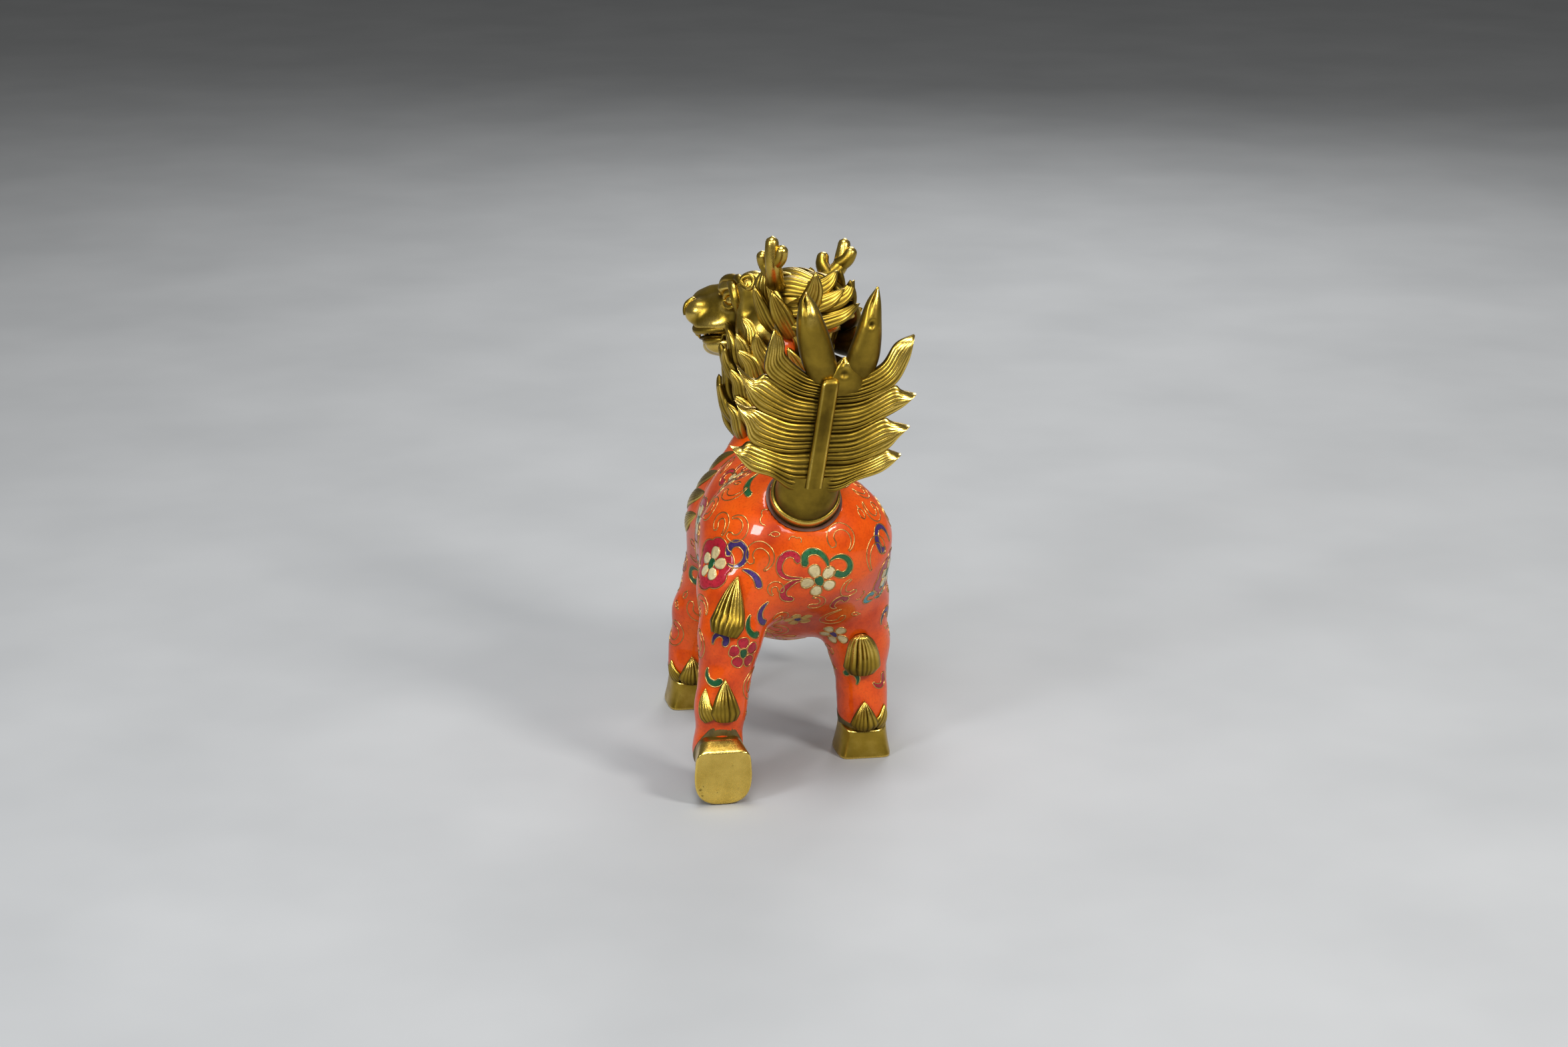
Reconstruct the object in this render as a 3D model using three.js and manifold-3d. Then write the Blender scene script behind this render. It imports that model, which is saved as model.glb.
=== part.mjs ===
// A qilin in a trot: an enamelled metal body with gilt castings. Millimetres, +Z up.
// The animal faces -Y, its left side is +X, and its head is turned to its left.
import * as THREE from "three";
import { mergeVertices } from "three/addons/utils/BufferGeometryUtils.js";
import Module from "manifold-3d";

const wasm = await Module();
wasm.setup();

// Seams and facets
const seamGap = 0.3;
const facetGrain = 0.2;
const bodyCell = 6.8;
const skullCell = 4.1;

// Torso
const barrelHalfWidth = 36.5;
const barrelHalfHeight = 41;
const barrelHalfLength = 48;
const barrelHeight = 87;
const rumpHalfLength = 33;
const rumpForward = -26;
const chestHalfLength = 31;
const chestForward = 35;

// Neck
const neckRadius = 14.5;
const neckBaseRadius = 22;
const neckFootRise = 31;
const neckLength = 40;
const neckFootHeight = barrelHeight + neckFootRise;
const neckTopHeight = neckFootHeight + neckLength;
const neckTopLeft = -8.5;
const neckFootLeft = -2.5;
const sleeveThickness = 2.2;
const maneFullness = 7;

// Legs: each lower leg runs into its hoof
const shankRadius = 9.3;
const kneeRadius = 10.4;
const hockRadius = 12.3;
const thighRadius = 17;
const hipRadius = 25;
const shoulderRadius = 18.5;
const trackHalfWidth = 31;

// Hooves
const soleWidth = 23.6;
const soleLength = 27;
const soleBevel = 1.1;
const heelHeight = 11.5;
const toeHeight = 20;
const hoofRimProud = 0.5;
const hoofTopBack = 2;
const heelNarrowing = 0.14;

// Where the feet are, forward of the middle of the barrel
const frontFootForward = 52;
const raisedFootForward = 62;
const raisedFootHeight = 34;
const raisedKneeForward = raisedFootForward + 17;
const hindFootUnderBody = -17;
const hindFootBehindBody = -73;
const pushedFootPitch = 83;
const raisedFootPitch = 50;

// Tail plume, measured up and out from the foot of its spine
const spineHeight = 45;
const spineLean = 9;
const spineWidth = 5.8;
const spineDepth = 4.6;
const plumeDepth = 5.4;
const lobeOverlap = 0.23;
const flameHeight = 78;
const flameWidth = 13;
const collarRadius = 14;
const collarHoleClearance = 1;
const collarSeatDepth = 4;
const tailSeatForward = -47.4;
const tailSeatRise = 34.2;
const tailSeatTilt = 48;

// Head
const skullHalfWidth = 17;
const skullHalfHeight = 14;
const skullHalfLength = 19;
const snoutLength = 44;
const snoutRadius = 11.5;
const jawRadius = 7.4;
const headTurn = 52;
const headNod = 10;
const headRoll = 11;
const antlerRise = 19;
const antlerSweep = 13.5;
const antlerSpread = 23;
const antlerRadius = 3.2;
const maneReach = 38;
const maneLockWidth = 11;
const beardLength = 12;
const napeGapWidth = 12;

// A place on the animal: to its left, forward, and above the ground
const place = (left, forward, height) => new THREE.Vector3(left, -forward, height);
const degrees = THREE.MathUtils.degToRad;
const mix = THREE.MathUtils.lerp;

// Solids from closed meshes, and back
function solidOf(geometry) {
  const bare = geometry.clone();
  bare.deleteAttribute("normal");
  bare.deleteAttribute("uv");
  const merged = mergeVertices(bare, 1e-4);
  const vertProperties = new Float32Array(merged.attributes.position.array);
  const triVerts = new Uint32Array(merged.index.array);
  return new wasm.Manifold(new wasm.Mesh({ numProp: 3, vertProperties, triVerts }));
}

function geometryOf(solid) {
  const mesh = solid.getMesh();
  const geometry = new THREE.BufferGeometry();
  geometry.setAttribute("position", new THREE.BufferAttribute(new Float32Array(mesh.vertProperties), 3));
  geometry.setIndex(new THREE.BufferAttribute(new Uint32Array(mesh.triVerts), 1));
  return geometry;
}

const joined = (solids) => solids.reduce((whole, next) => whole.add(next));

// A casting after its joins and cuts: the crumbs beside it dropped, and facets under the grain merged
function cleaned(solid) {
  const pieces = solid.decompose().sort((a, b) => b.volume() - a.volume());
  return pieces[0].asOriginal().simplify(facetGrain);
}

// Soft forms: distance fields that blend into each other
function ball(centre, radiusX, radiusY, radiusZ) {
  const radii = new THREE.Vector3(radiusX, radiusY, radiusZ);
  const squares = radii.clone().multiply(radii);
  return (point) => {
    const away = point.clone().sub(centre);
    const outward = away.clone().divide(radii).length();
    const slope = away.divide(squares).length();
    return slope === 0 ? -radii.x : (outward * (outward - 1)) / slope;
  };
}

function limb(start, startRadius, end, endRadius) {
  const axis = end.clone().sub(start);
  const lengthSquared = axis.lengthSq();
  return (point) => {
    const away = point.clone().sub(start);
    const along = THREE.MathUtils.clamp(away.dot(axis) / lengthSquared, 0, 1);
    const nearest = axis.clone().multiplyScalar(along);
    return away.sub(nearest).length() - mix(startRadius, endRadius, along);
  };
}

function blended(fields, softness) {
  return (point) => {
    let nearest = fields[0](point);
    for (const field of fields.slice(1)) {
      const distance = field(point);
      const overlap = Math.max(softness - Math.abs(nearest - distance), 0) / softness;
      nearest = Math.min(nearest, distance) - (overlap * overlap * softness) / 4;
    }
    return nearest;
  };
}

function chain(joints, softness) {
  const links = joints.slice(1).map((joint, i) => limb(joints[i].at, joints[i].radius, joint.at, joint.radius));
  return blended(links, softness);
}

function slopeOf(field, point) {
  const step = 0.05;
  const along = (axis) => field(point.clone().addScaledVector(axis, step))
    - field(point.clone().addScaledVector(axis, -step));
  return new THREE.Vector3(
    along(new THREE.Vector3(1, 0, 0)),
    along(new THREE.Vector3(0, 1, 0)),
    along(new THREE.Vector3(0, 0, 1)),
  ).normalize();
}

// The closed surface where a field is zero, one vertex to each grid cell that the surface crosses.
// The form lies between its lowest and highest corner, and the grid goes two cells beyond them.
function surfaceOf(field, lowest, highest, cell) {
  const low = lowest.clone().subScalar(2 * cell);
  const count = highest.clone().addScalar(2 * cell).sub(low).divideScalar(cell).ceil().addScalar(1);
  const slot = (i, j, k) => (k * count.y + j) * count.x + i;
  const values = new Float64Array(count.x * count.y * count.z);
  const corner = (i, j, k) => new THREE.Vector3(i, j, k).multiplyScalar(cell).add(low);
  for (let k = 0; k < count.z; k += 1) {
    for (let j = 0; j < count.y; j += 1) {
      for (let i = 0; i < count.x; i += 1) {
        values[slot(i, j, k)] = field(corner(i, j, k));
      }
    }
  }
  const vertexOfCell = new Map();
  const positions = [];
  const corners = [0, 1, 2, 3, 4, 5, 6, 7].map((n) => [n & 1, (n >> 1) & 1, (n >> 2) & 1]);
  const edges = [];
  for (let a = 0; a < 8; a += 1) {
    for (let b = a + 1; b < 8; b += 1) {
      const difference = a ^ b;
      if (difference === 1 || difference === 2 || difference === 4) edges.push([a, b]);
    }
  }
  for (let k = 0; k < count.z - 1; k += 1) {
    for (let j = 0; j < count.y - 1; j += 1) {
      for (let i = 0; i < count.x - 1; i += 1) {
        const at = corners.map(([di, dj, dk]) => values[slot(i + di, j + dj, k + dk)]);
        const middle = new THREE.Vector3();
        let crossings = 0;
        for (const [a, b] of edges) {
          if ((at[a] < 0) !== (at[b] < 0)) {
            const share = at[a] / (at[a] - at[b]);
            const from = new THREE.Vector3(...corners[a]);
            middle.add(from.lerp(new THREE.Vector3(...corners[b]), share));
            crossings += 1;
          }
        }
        if (crossings > 0) {
          const vertex = middle.divideScalar(crossings).multiplyScalar(cell).add(corner(i, j, k));
          for (let pass = 0; pass < 3; pass += 1) {
            vertex.addScaledVector(slopeOf(field, vertex), -0.8 * field(vertex));
          }
          vertexOfCell.set(slot(i, j, k), positions.length / 3);
          positions.push(vertex.x, vertex.y, vertex.z);
        }
      }
    }
  }
  const triangles = [];
  const quad = (cells, flipped) => {
    const [a, b, c, d] = cells.map((key) => vertexOfCell.get(key));
    if (flipped) triangles.push(a, c, b, a, d, c);
    else triangles.push(a, b, c, a, c, d);
  };
  for (let k = 1; k < count.z - 1; k += 1) {
    for (let j = 1; j < count.y - 1; j += 1) {
      for (let i = 1; i < count.x - 1; i += 1) {
        const here = values[slot(i, j, k)] < 0;
        if (here !== (values[slot(i + 1, j, k)] < 0)) {
          quad([slot(i, j - 1, k - 1), slot(i, j, k - 1), slot(i, j, k), slot(i, j - 1, k)], !here);
        }
        if (here !== (values[slot(i, j + 1, k)] < 0)) {
          quad([slot(i - 1, j, k - 1), slot(i - 1, j, k), slot(i, j, k), slot(i, j, k - 1)], !here);
        }
        if (here !== (values[slot(i, j, k + 1)] < 0)) {
          quad([slot(i - 1, j - 1, k), slot(i, j - 1, k), slot(i, j, k), slot(i - 1, j, k)], !here);
        }
      }
    }
  }
  const geometry = new THREE.BufferGeometry();
  geometry.setAttribute("position", new THREE.Float32BufferAttribute(positions, 3));
  geometry.setIndex(triangles);
  return geometry;
}

// The same surface moved outward, to cut a neighbour with an even gap
function swollen(geometry, field, distance) {
  const grown = geometry.clone();
  const spots = grown.attributes.position;
  for (let i = 0; i < spots.count; i += 1) {
    const spot = new THREE.Vector3().fromBufferAttribute(spots, i);
    spot.addScaledVector(slopeOf(field, spot), distance);
    spots.setXYZ(i, spot.x, spot.y, spot.z);
  }
  return grown;
}

// A closed skin over rings of equal count; a ring of one point is a tip
function skin(rings) {
  const positions = [];
  const starts = rings.map((ring) => {
    const start = positions.length / 3;
    ring.forEach((point) => positions.push(point.x, point.y, point.z));
    return start;
  });
  const triangles = [];
  for (let r = 0; r < rings.length - 1; r += 1) {
    const sides = Math.max(rings[r].length, rings[r + 1].length);
    for (let s = 0; s < sides; s += 1) {
      const next = (s + 1) % sides;
      const a = starts[r] + (s % rings[r].length);
      const b = starts[r] + (next % rings[r].length);
      const c = starts[r + 1] + (next % rings[r + 1].length);
      const d = starts[r + 1] + (s % rings[r + 1].length);
      if (a !== b) triangles.push(a, b, c);
      if (c !== d) triangles.push(a, c, d);
    }
  }
  const last = rings.length - 1;
  for (let s = 1; s < rings[0].length - 1; s += 1) {
    triangles.push(starts[0], starts[0] + s + 1, starts[0] + s);
  }
  for (let s = 1; s < rings[last].length - 1; s += 1) {
    triangles.push(starts[last], starts[last] + s, starts[last] + s + 1);
  }
  const geometry = new THREE.BufferGeometry();
  geometry.setAttribute("position", new THREE.Float32BufferAttribute(positions, 3));
  geometry.setIndex(triangles);
  return geometry;
}

// Swell of a flame-like lock from its root, 0, to its tip, 1
const flameSwell = (along) => (0.62 + 0.9 * along) * (1 - along ** 2.2);

// A tapering lock of hair along a bent line, with a fluted front and a flat back
function lock({ path, front, width, depth, flutes = 1, stations = 5, swell = flameSwell }) {
  const line = new THREE.CatmullRomCurve3(path);
  const rings = [];
  for (let station = 0; station < stations; station += 1) {
    const along = station / stations;
    const centre = line.getPointAt(along);
    const tangent = line.getTangentAt(along);
    const across = new THREE.Vector3().crossVectors(tangent, front).normalize();
    const outward = new THREE.Vector3().crossVectors(across, tangent).normalize();
    const halfWidth = (width / 2) * swell(along);
    const halfDepth = (depth / 2) * Math.sqrt(Math.max(swell(along), 0));
    const ring = [];
    const frontPoints = 2 * flutes + 1;
    for (let n = 0; n < frontPoints; n += 1) {
      const share = -1 + (2 * n) / (frontPoints - 1);
      const crown = Math.sqrt(1.08 - share * share);
      const ridge = n % 2 === 1 ? 1 : 0.72;
      const lift = flutes === 1 ? crown : crown * ridge;
      ring.push(centre.clone().addScaledVector(across, share * halfWidth)
        .addScaledVector(outward, lift * halfDepth));
    }
    for (const share of [0.7, -0.7]) {
      ring.push(centre.clone().addScaledVector(across, share * halfWidth)
        .addScaledVector(outward, -0.75 * halfDepth));
    }
    rings.push(ring);
  }
  rings.push([line.getPointAt(1)]);
  return solidOf(skin(rings));
}

// A round tapering stem, for antlers and their prongs
function stem(path, startRadius, endRadius, stations = 4, sides = 7) {
  const line = new THREE.CatmullRomCurve3(path);
  const sideways = new THREE.Vector3(0.31, 0.2, 0.93);
  const rings = [];
  for (let station = 0; station <= stations; station += 1) {
    const along = station / (stations + 1);
    const tangent = line.getTangentAt(along);
    const across = new THREE.Vector3().crossVectors(tangent, sideways).normalize();
    const outward = new THREE.Vector3().crossVectors(across, tangent);
    const radius = mix(startRadius, endRadius, along);
    const ring = [];
    for (let side = 0; side < sides; side += 1) {
      const angle = (-2 * Math.PI * side) / sides;
      ring.push(line.getPointAt(along).addScaledVector(across, radius * Math.cos(angle))
        .addScaledVector(outward, radius * Math.sin(angle)));
    }
    rings.push(ring);
  }
  rings.push([line.getPointAt(1)]);
  return solidOf(skin(rings));
}

// Hooves: a block with a flat sole, a square heel, and a rounded toe that is flared and higher
const hoofTopTilt = Math.atan2(toeHeight - heelHeight, soleLength);
const hoofTopHeight = (y) => (heelHeight + toeHeight) / 2 - y * Math.tan(hoofTopTilt);
const hoofTopMiddle = new THREE.Vector3(0, hoofTopBack, hoofTopHeight(hoofTopBack));
const hoofTopNormal = new THREE.Vector3(0, Math.sin(hoofTopTilt), Math.cos(hoofTopTilt));

function hoofGeometry() {
  const sides = 16;
  const outline = (halfWidth, halfLength, flare) => {
    const points = [];
    for (let side = 0; side < sides; side += 1) {
      const angle = (2 * Math.PI * (side + 0.5)) / sides;
      const squareness = Math.sin(angle) > 0 ? mix(4.5, 9, flare) : mix(2.3, 3, flare);
      const bulge = (value) => Math.sign(value) * Math.abs(value) ** (2 / squareness);
      const lengthwise = bulge(Math.sin(angle));
      const narrowing = 1 - heelNarrowing * Math.max(lengthwise, 0) ** 2;
      points.push(new THREE.Vector2(
        halfWidth * bulge(Math.cos(angle)) * narrowing,
        halfLength * lengthwise + hoofTopBack * (1 - flare),
      ));
    }
    return points;
  };
  const topHalfWidth = shankRadius + hoofRimProud;
  const topHalfLength = shankRadius / Math.cos(hoofTopTilt) + hoofRimProud;
  const levels = [0, 0.09, 0.4, 0.7, 1];
  const rings = levels.map((level) => {
    const flare = (1 - level) ** 1.7;
    const inset = level === 0 ? soleBevel : 0;
    const points = outline(
      mix(topHalfWidth, soleWidth / 2, flare) - inset,
      mix(topHalfLength, soleLength / 2, flare) - inset,
      flare,
    );
    return points.map(({ x, y }) => new THREE.Vector3(x, y, level * hoofTopHeight(y)));
  });
  return skin(rings);
}

function hoofPose(left, forward, height, pitch) {
  const turn = new THREE.Matrix4().makeRotationX(degrees(pitch));
  const where = place(left, forward, height);
  return turn.setPosition(where);
}

// A pitched hoof stands on the lowest point of its toe
function restingPose(left, forward, pitch) {
  const pose = hoofPose(left, forward, 0, pitch);
  const posed = hoofGeometry().applyMatrix4(pose);
  posed.computeBoundingBox();
  return hoofPose(left, forward, -posed.boundingBox.min.z, pitch);
}

const feet = {
  front_left: hoofPose(trackHalfWidth + 2, frontFootForward, 0, 0),
  front_right: hoofPose(-trackHalfWidth, raisedFootForward, raisedFootHeight, raisedFootPitch),
  hind_left: restingPose(trackHalfWidth + 5, hindFootBehindBody, pushedFootPitch),
  hind_right: hoofPose(-trackHalfWidth + 1, hindFootUnderBody, 0, 0),
};

// The last joints of a leg run square through the top of its hoof
function legIntoHoof(foot, joints) {
  const middle = hoofTopMiddle.clone().applyMatrix4(foot);
  const upward = hoofTopNormal.clone().transformDirection(foot);
  const above = { at: middle.clone().addScaledVector(upward, 3), radius: shankRadius };
  const inside = { at: middle.clone().addScaledVector(upward, -6), radius: shankRadius };
  return chain([...joints, above, inside], 4);
}

const joint = (left, forward, height, radius) => ({ at: place(left, forward, height), radius });

const legs = {
  front_left: legIntoHoof(feet.front_left, [
    joint(17, 40, barrelHeight - 3, shoulderRadius),
    joint(23.5, 46, 62, kneeRadius + 1.6),
    joint(trackHalfWidth - 1, 50, 42, kneeRadius),
    joint(trackHalfWidth + 1.6, frontFootForward - 1, 26, shankRadius),
  ]),
  front_right: legIntoHoof(feet.front_right, [
    joint(-17, 40, barrelHeight - 3, shoulderRadius),
    joint(-25, 57, 70, kneeRadius + 2.5),
    joint(-trackHalfWidth, raisedKneeForward, 63, kneeRadius),
    joint(-trackHalfWidth, raisedKneeForward - 1, 52, shankRadius),
  ]),
  hind_left: legIntoHoof(feet.hind_left, [
    joint(15, -27, barrelHeight + 5, hipRadius),
    joint(24, -38, 80, thighRadius),
    joint(29.5, -48, 64, hockRadius),
    joint(34.5, -54, 36, shankRadius + 0.4),
  ]),
  hind_right: legIntoHoof(feet.hind_right, [
    joint(-15, -27, barrelHeight + 5, hipRadius),
    joint(-24, -19, 68, thighRadius - 1),
    joint(-28.5, -18, 48, hockRadius),
    joint(-30, -18.5, 26, shankRadius + 0.4),
  ]),
};

// Body: barrel, rump, chest, neck and legs in one shell
const torso = blended([
  ball(place(0, 3, barrelHeight), barrelHalfWidth, barrelHalfLength, barrelHalfHeight),
  ball(place(0, rumpForward, barrelHeight + 9), barrelHalfWidth, rumpHalfLength, barrelHalfHeight - 9),
  ball(place(0, chestForward, barrelHeight - 4), barrelHalfWidth - 4, chestHalfLength, barrelHalfHeight - 2),
], 6);
const neck = chain([
  joint(0, 41, barrelHeight + 13, neckBaseRadius),
  joint(neckFootLeft, 46, neckFootHeight, neckRadius),
  joint(neckTopLeft, 47, neckTopHeight, neckRadius),
], 8);
const bodyField = blended([torso, neck, ...Object.values(legs)], 9);
const bodyHalfWidth = Math.max(barrelHalfWidth, trackHalfWidth + 2 * shankRadius);
const bodyLow = place(-bodyHalfWidth, raisedKneeForward + kneeRadius, 0);
const bodyHigh = place(bodyHalfWidth, hindFootBehindBody, neckTopHeight + neckRadius);
const bodySurface = surfaceOf(bodyField, bodyLow, bodyHigh, bodyCell);
const bodyClearance = solidOf(swollen(bodySurface, bodyField, seamGap + 0.1));

// Everything beyond a leg's seam with its hoof
function beyondHoofSeam(foot) {
  const reach = 40;
  const block = new THREE.BoxGeometry(reach, reach, reach);
  block.translate(0, 0, -reach / 2);
  block.rotateX(-hoofTopTilt);
  block.translate(0, hoofTopBack, hoofTopMiddle.z + seamGap / Math.cos(hoofTopTilt));
  return solidOf(block.applyMatrix4(foot));
}

// The tail stands in a round seat square to the rump
const tailSeatMiddle = place(-1, tailSeatForward, barrelHeight + tailSeatRise);
const tailSeatAxis = new THREE.Vector3(0, Math.sin(degrees(tailSeatTilt)), Math.cos(degrees(tailSeatTilt)));

function tailSeat() {
  const reach = 24;
  const drill = new THREE.CylinderGeometry(
    collarRadius + collarHoleClearance,
    collarRadius + collarHoleClearance,
    reach,
    28,
  );
  drill.rotateX(Math.PI / 2);
  drill.rotateX(-degrees(tailSeatTilt));
  const middle = tailSeatMiddle.clone().addScaledVector(tailSeatAxis, reach / 2 - collarSeatDepth);
  return solidOf(drill.translate(middle.x, middle.y, middle.z));
}

function bodySolid() {
  let solid = solidOf(bodySurface);
  for (const foot of Object.values(feet)) {
    solid = solid.subtract(beyondHoofSeam(foot));
  }
  return cleaned(solid.subtract(tailSeat()));
}

// Tail plume. Its own plane: out to the right as seen from behind, up, and towards the back
const plumeFoot = tailSeatMiddle.clone().addScaledVector(tailSeatAxis, 6).add(new THREE.Vector3(-1, 5.3, 1));
const onPlume = (out, up, back = 0) => plumeFoot.clone().add(new THREE.Vector3(-out, back, up));
const backward = new THREE.Vector3(0, 1, 0);
const spineTop = { out: spineHeight * Math.tan(degrees(spineLean)), up: spineHeight };

function collarSolid() {
  const rings = [];
  const sides = 20;
  const low = collarSeatDepth - seamGap;
  const stations = [
    { along: -low, radius: collarRadius - 0.8 },
    { along: -low + 0.8, radius: collarRadius },
    { along: 2, radius: collarRadius - 0.3 },
    { along: 5.5, radius: collarRadius - 1.2 },
  ];
  const level = new THREE.Vector3(1, 0, 0);
  const uphill = new THREE.Vector3().crossVectors(tailSeatAxis, level);
  for (const { along, radius } of stations) {
    const ring = [];
    for (let side = 0; side < sides; side += 1) {
      const angle = (2 * Math.PI * side) / sides;
      ring.push(tailSeatMiddle.clone().addScaledVector(tailSeatAxis, along)
        .addScaledVector(level, radius * Math.cos(angle))
        .addScaledVector(uphill, radius * Math.sin(angle)));
    }
    rings.push(ring);
  }
  const rootRing = [];
  for (let side = 0; side < sides; side += 1) {
    const angle = (2 * Math.PI * side) / sides;
    rootRing.push(onPlume(-11.5 * Math.cos(angle), 4, -1.5 - 5.4 * Math.sin(angle)));
  }
  rings.push(rootRing);
  return solidOf(skin(rings));
}

function spineSolid() {
  const half = spineWidth / 2;
  const bevel = 1.1;
  const section = (up, grow) => {
    const out = up * Math.tan(degrees(spineLean));
    return [
      onPlume(out - half * grow, up, -spineDepth),
      onPlume(out - half * grow, up, spineDepth - bevel),
      onPlume(out - (half - bevel) * grow, up, spineDepth),
      onPlume(out + (half - bevel) * grow, up, spineDepth),
      onPlume(out + half * grow, up, spineDepth - bevel),
      onPlume(out + half * grow, up, -spineDepth),
    ];
  };
  return solidOf(skin([section(-0.5, 1), section(spineHeight - 1.5, 1), section(spineHeight, 0.6)]));
}

// A lobe of strands that leaves the spine, sweeps outward and turns up to its tip
function plumeLobe({ tipOut, tipUp, rootUp, width, curl }, order) {
  const layer = 0.9 - lobeOverlap * order;
  const rootOut = rootUp * Math.tan(degrees(spineLean));
  const side = Math.sign(tipOut);
  const reach = Math.abs(tipOut - rootOut);
  const path = [
    onPlume(rootOut - side * (1.4 + 0.17 * order), rootUp - 0.5, layer),
    onPlume(rootOut + side * reach * 0.35, rootUp + (tipUp - rootUp) * 0.12, layer + 0.6),
    onPlume(rootOut + side * reach * 0.72, rootUp + (tipUp - rootUp) * (0.5 - curl), layer),
    onPlume(tipOut, tipUp, layer - 1.2),
  ];
  return lock({
    path,
    front: backward,
    width,
    depth: plumeDepth,
    flutes: 3,
    stations: 5,
    swell: (along) => (1 - along ** 4) * (1 - 0.1 * along),
  });
}

const plumeLobes = [
  { tipOut: 35.5, tipUp: 14, rootUp: 4, width: 13.5, curl: 0.12 },
  { tipOut: 38.5, tipUp: 25.5, rootUp: 13, width: 16.5, curl: 0.14 },
  { tipOut: 40.5, tipUp: 38.5, rootUp: 24, width: 18, curl: 0.14 },
  { tipOut: 39.5, tipUp: 62, rootUp: 37, width: 19, curl: 0.16 },
  { tipOut: -31, tipUp: 19.5, rootUp: 4, width: 15.5, curl: 0.1 },
  { tipOut: -29.5, tipUp: 36, rootUp: 14, width: 19, curl: 0.08 },
  { tipOut: -30.5, tipUp: 53.5, rootUp: 26, width: 19, curl: 0.06 },
  { tipOut: -13.5, tipUp: 66, rootUp: 38, width: 18, curl: -0.05 },
];

// The two smooth flames at the top of the plume
function plumeFlame(rootOut, bellyOut, tipOut, height) {
  const path = [
    onPlume(rootOut, spineHeight - 1, 0),
    onPlume(bellyOut, mix(spineHeight, height, 0.35), 1),
    onPlume(bellyOut, mix(spineHeight, height, 0.65), 1),
    onPlume(tipOut, height, 0),
  ];
  return lock({
    path,
    front: backward,
    width: flameWidth,
    depth: plumeDepth * 1.8,
    flutes: 1,
    stations: 6,
    swell: (along) => 0.35 + 0.75 * Math.sin(Math.PI * Math.min(0.06 + along * 0.94, 1)),
  });
}

function plumeSolid() {
  const lobes = plumeLobes.map(plumeLobe);
  const flames = [
    plumeFlame(5, 0.2, -4.5, flameHeight),
    plumeFlame(15, 20.5, 26, flameHeight + 2),
  ];
  const bridge = lock({
    path: [onPlume(8, spineHeight - 3), onPlume(11, spineHeight + 5), onPlume(12.5, spineHeight + 14)],
    front: backward,
    width: 9,
    depth: plumeDepth,
    stations: 3,
  });
  return cleaned(joined([collarSolid(), spineSolid(), ...lobes, ...flames, bridge]));
}

// Head. Its own frame: along the snout, to its left, and up
const skullMiddle = place(neckTopLeft - 2, 50, neckTopHeight + 16.5);
const headTurned = new THREE.Matrix4().makeBasis(
  place(
    Math.sin(degrees(headTurn)) * Math.cos(degrees(headNod)),
    Math.cos(degrees(headTurn)) * Math.cos(degrees(headNod)),
    -Math.sin(degrees(headNod)),
  ),
  place(Math.cos(degrees(headTurn)), -Math.sin(degrees(headTurn)), 0),
  place(
    Math.sin(degrees(headTurn)) * Math.sin(degrees(headNod)),
    Math.cos(degrees(headTurn)) * Math.sin(degrees(headNod)),
    Math.cos(degrees(headNod)),
  ),
);
const headPose = headTurned.multiply(new THREE.Matrix4().makeRotationX(degrees(headRoll)))
  .setPosition(skullMiddle);
const onHead = (along, left, up) => new THREE.Vector3(along, left, up);

function skullSolid() {
  const pair = (make) => [make(1), make(-1)];
  const field = blended([
    ball(onHead(-2, 0, -1), skullHalfLength, skullHalfWidth, skullHalfHeight),
    limb(onHead(10, 0, 0), snoutRadius + 1, onHead(snoutLength - 10, 0, -0.5), snoutRadius),
    limb(onHead(6, 0, -11), jawRadius + 3, onHead(snoutLength - 10, 0, -11.5), jawRadius - 1),
    ball(onHead(snoutLength - 5, 0, 3), 9, 10.5, 9),
    ...pair((side) => ball(onHead(snoutLength - 3, side * 8, 1), 6, 5, 6)),
    ...pair((side) => ball(onHead(19, side * 9.5, 10), 8.5, 5.5, 6)),
    ...pair((side) => ball(onHead(8, side * 11, -9), 12, 8, 10)),
  ], 4);
  const lowest = onHead(-skullHalfLength - 3, -skullHalfWidth - 5, -jawRadius - 16);
  const highest = onHead(snoutLength + 6, skullHalfWidth + 5, skullHalfHeight + 4);
  return solidOf(surfaceOf(field, lowest, highest, skullCell));
}

function mouthCut() {
  const opening = new THREE.Shape();
  const front = snoutLength + 12;
  opening.moveTo(27, -9);
  opening.quadraticCurveTo(36, -7.8, front, -9);
  opening.lineTo(front, -10.2);
  opening.quadraticCurveTo(36, -9, 27, -9.6);
  const sheet = new THREE.ExtrudeGeometry(opening, { depth: 50, bevelEnabled: false, curveSegments: 4 });
  sheet.translate(0, 0, -25);
  sheet.rotateX(Math.PI / 2);
  return solidOf(sheet);
}

function eyeSolid(side) {
  const eye = new THREE.SphereGeometry(3.5, 8, 6);
  eye.translate(19.3, side * 12, 5.4);
  return solidOf(eye);
}

function antlerSolids(side) {
  const base = onHead(2, side * 8, 9);
  const away = (share, rise) => base.clone()
    .add(onHead(-antlerSweep * share, side * antlerSpread * share, antlerRise * rise));
  const middle = away(0.5, 0.1);
  const elbow = away(0.86, 0.35);
  const tip = away(1, 1.1);
  const knob = elbow.clone().add(onHead(-6.5, side * 2.5, 6.5));
  const prong = away(0.62, 0.78).add(onHead(4, 0, 0));
  return [
    stem([base, middle, elbow, tip], antlerRadius + 1, antlerRadius * 0.9, 5),
    stem([elbow, knob], antlerRadius, antlerRadius * 0.75, 2),
    stem([middle, prong], antlerRadius, antlerRadius * 0.65, 2),
  ];
}

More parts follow.
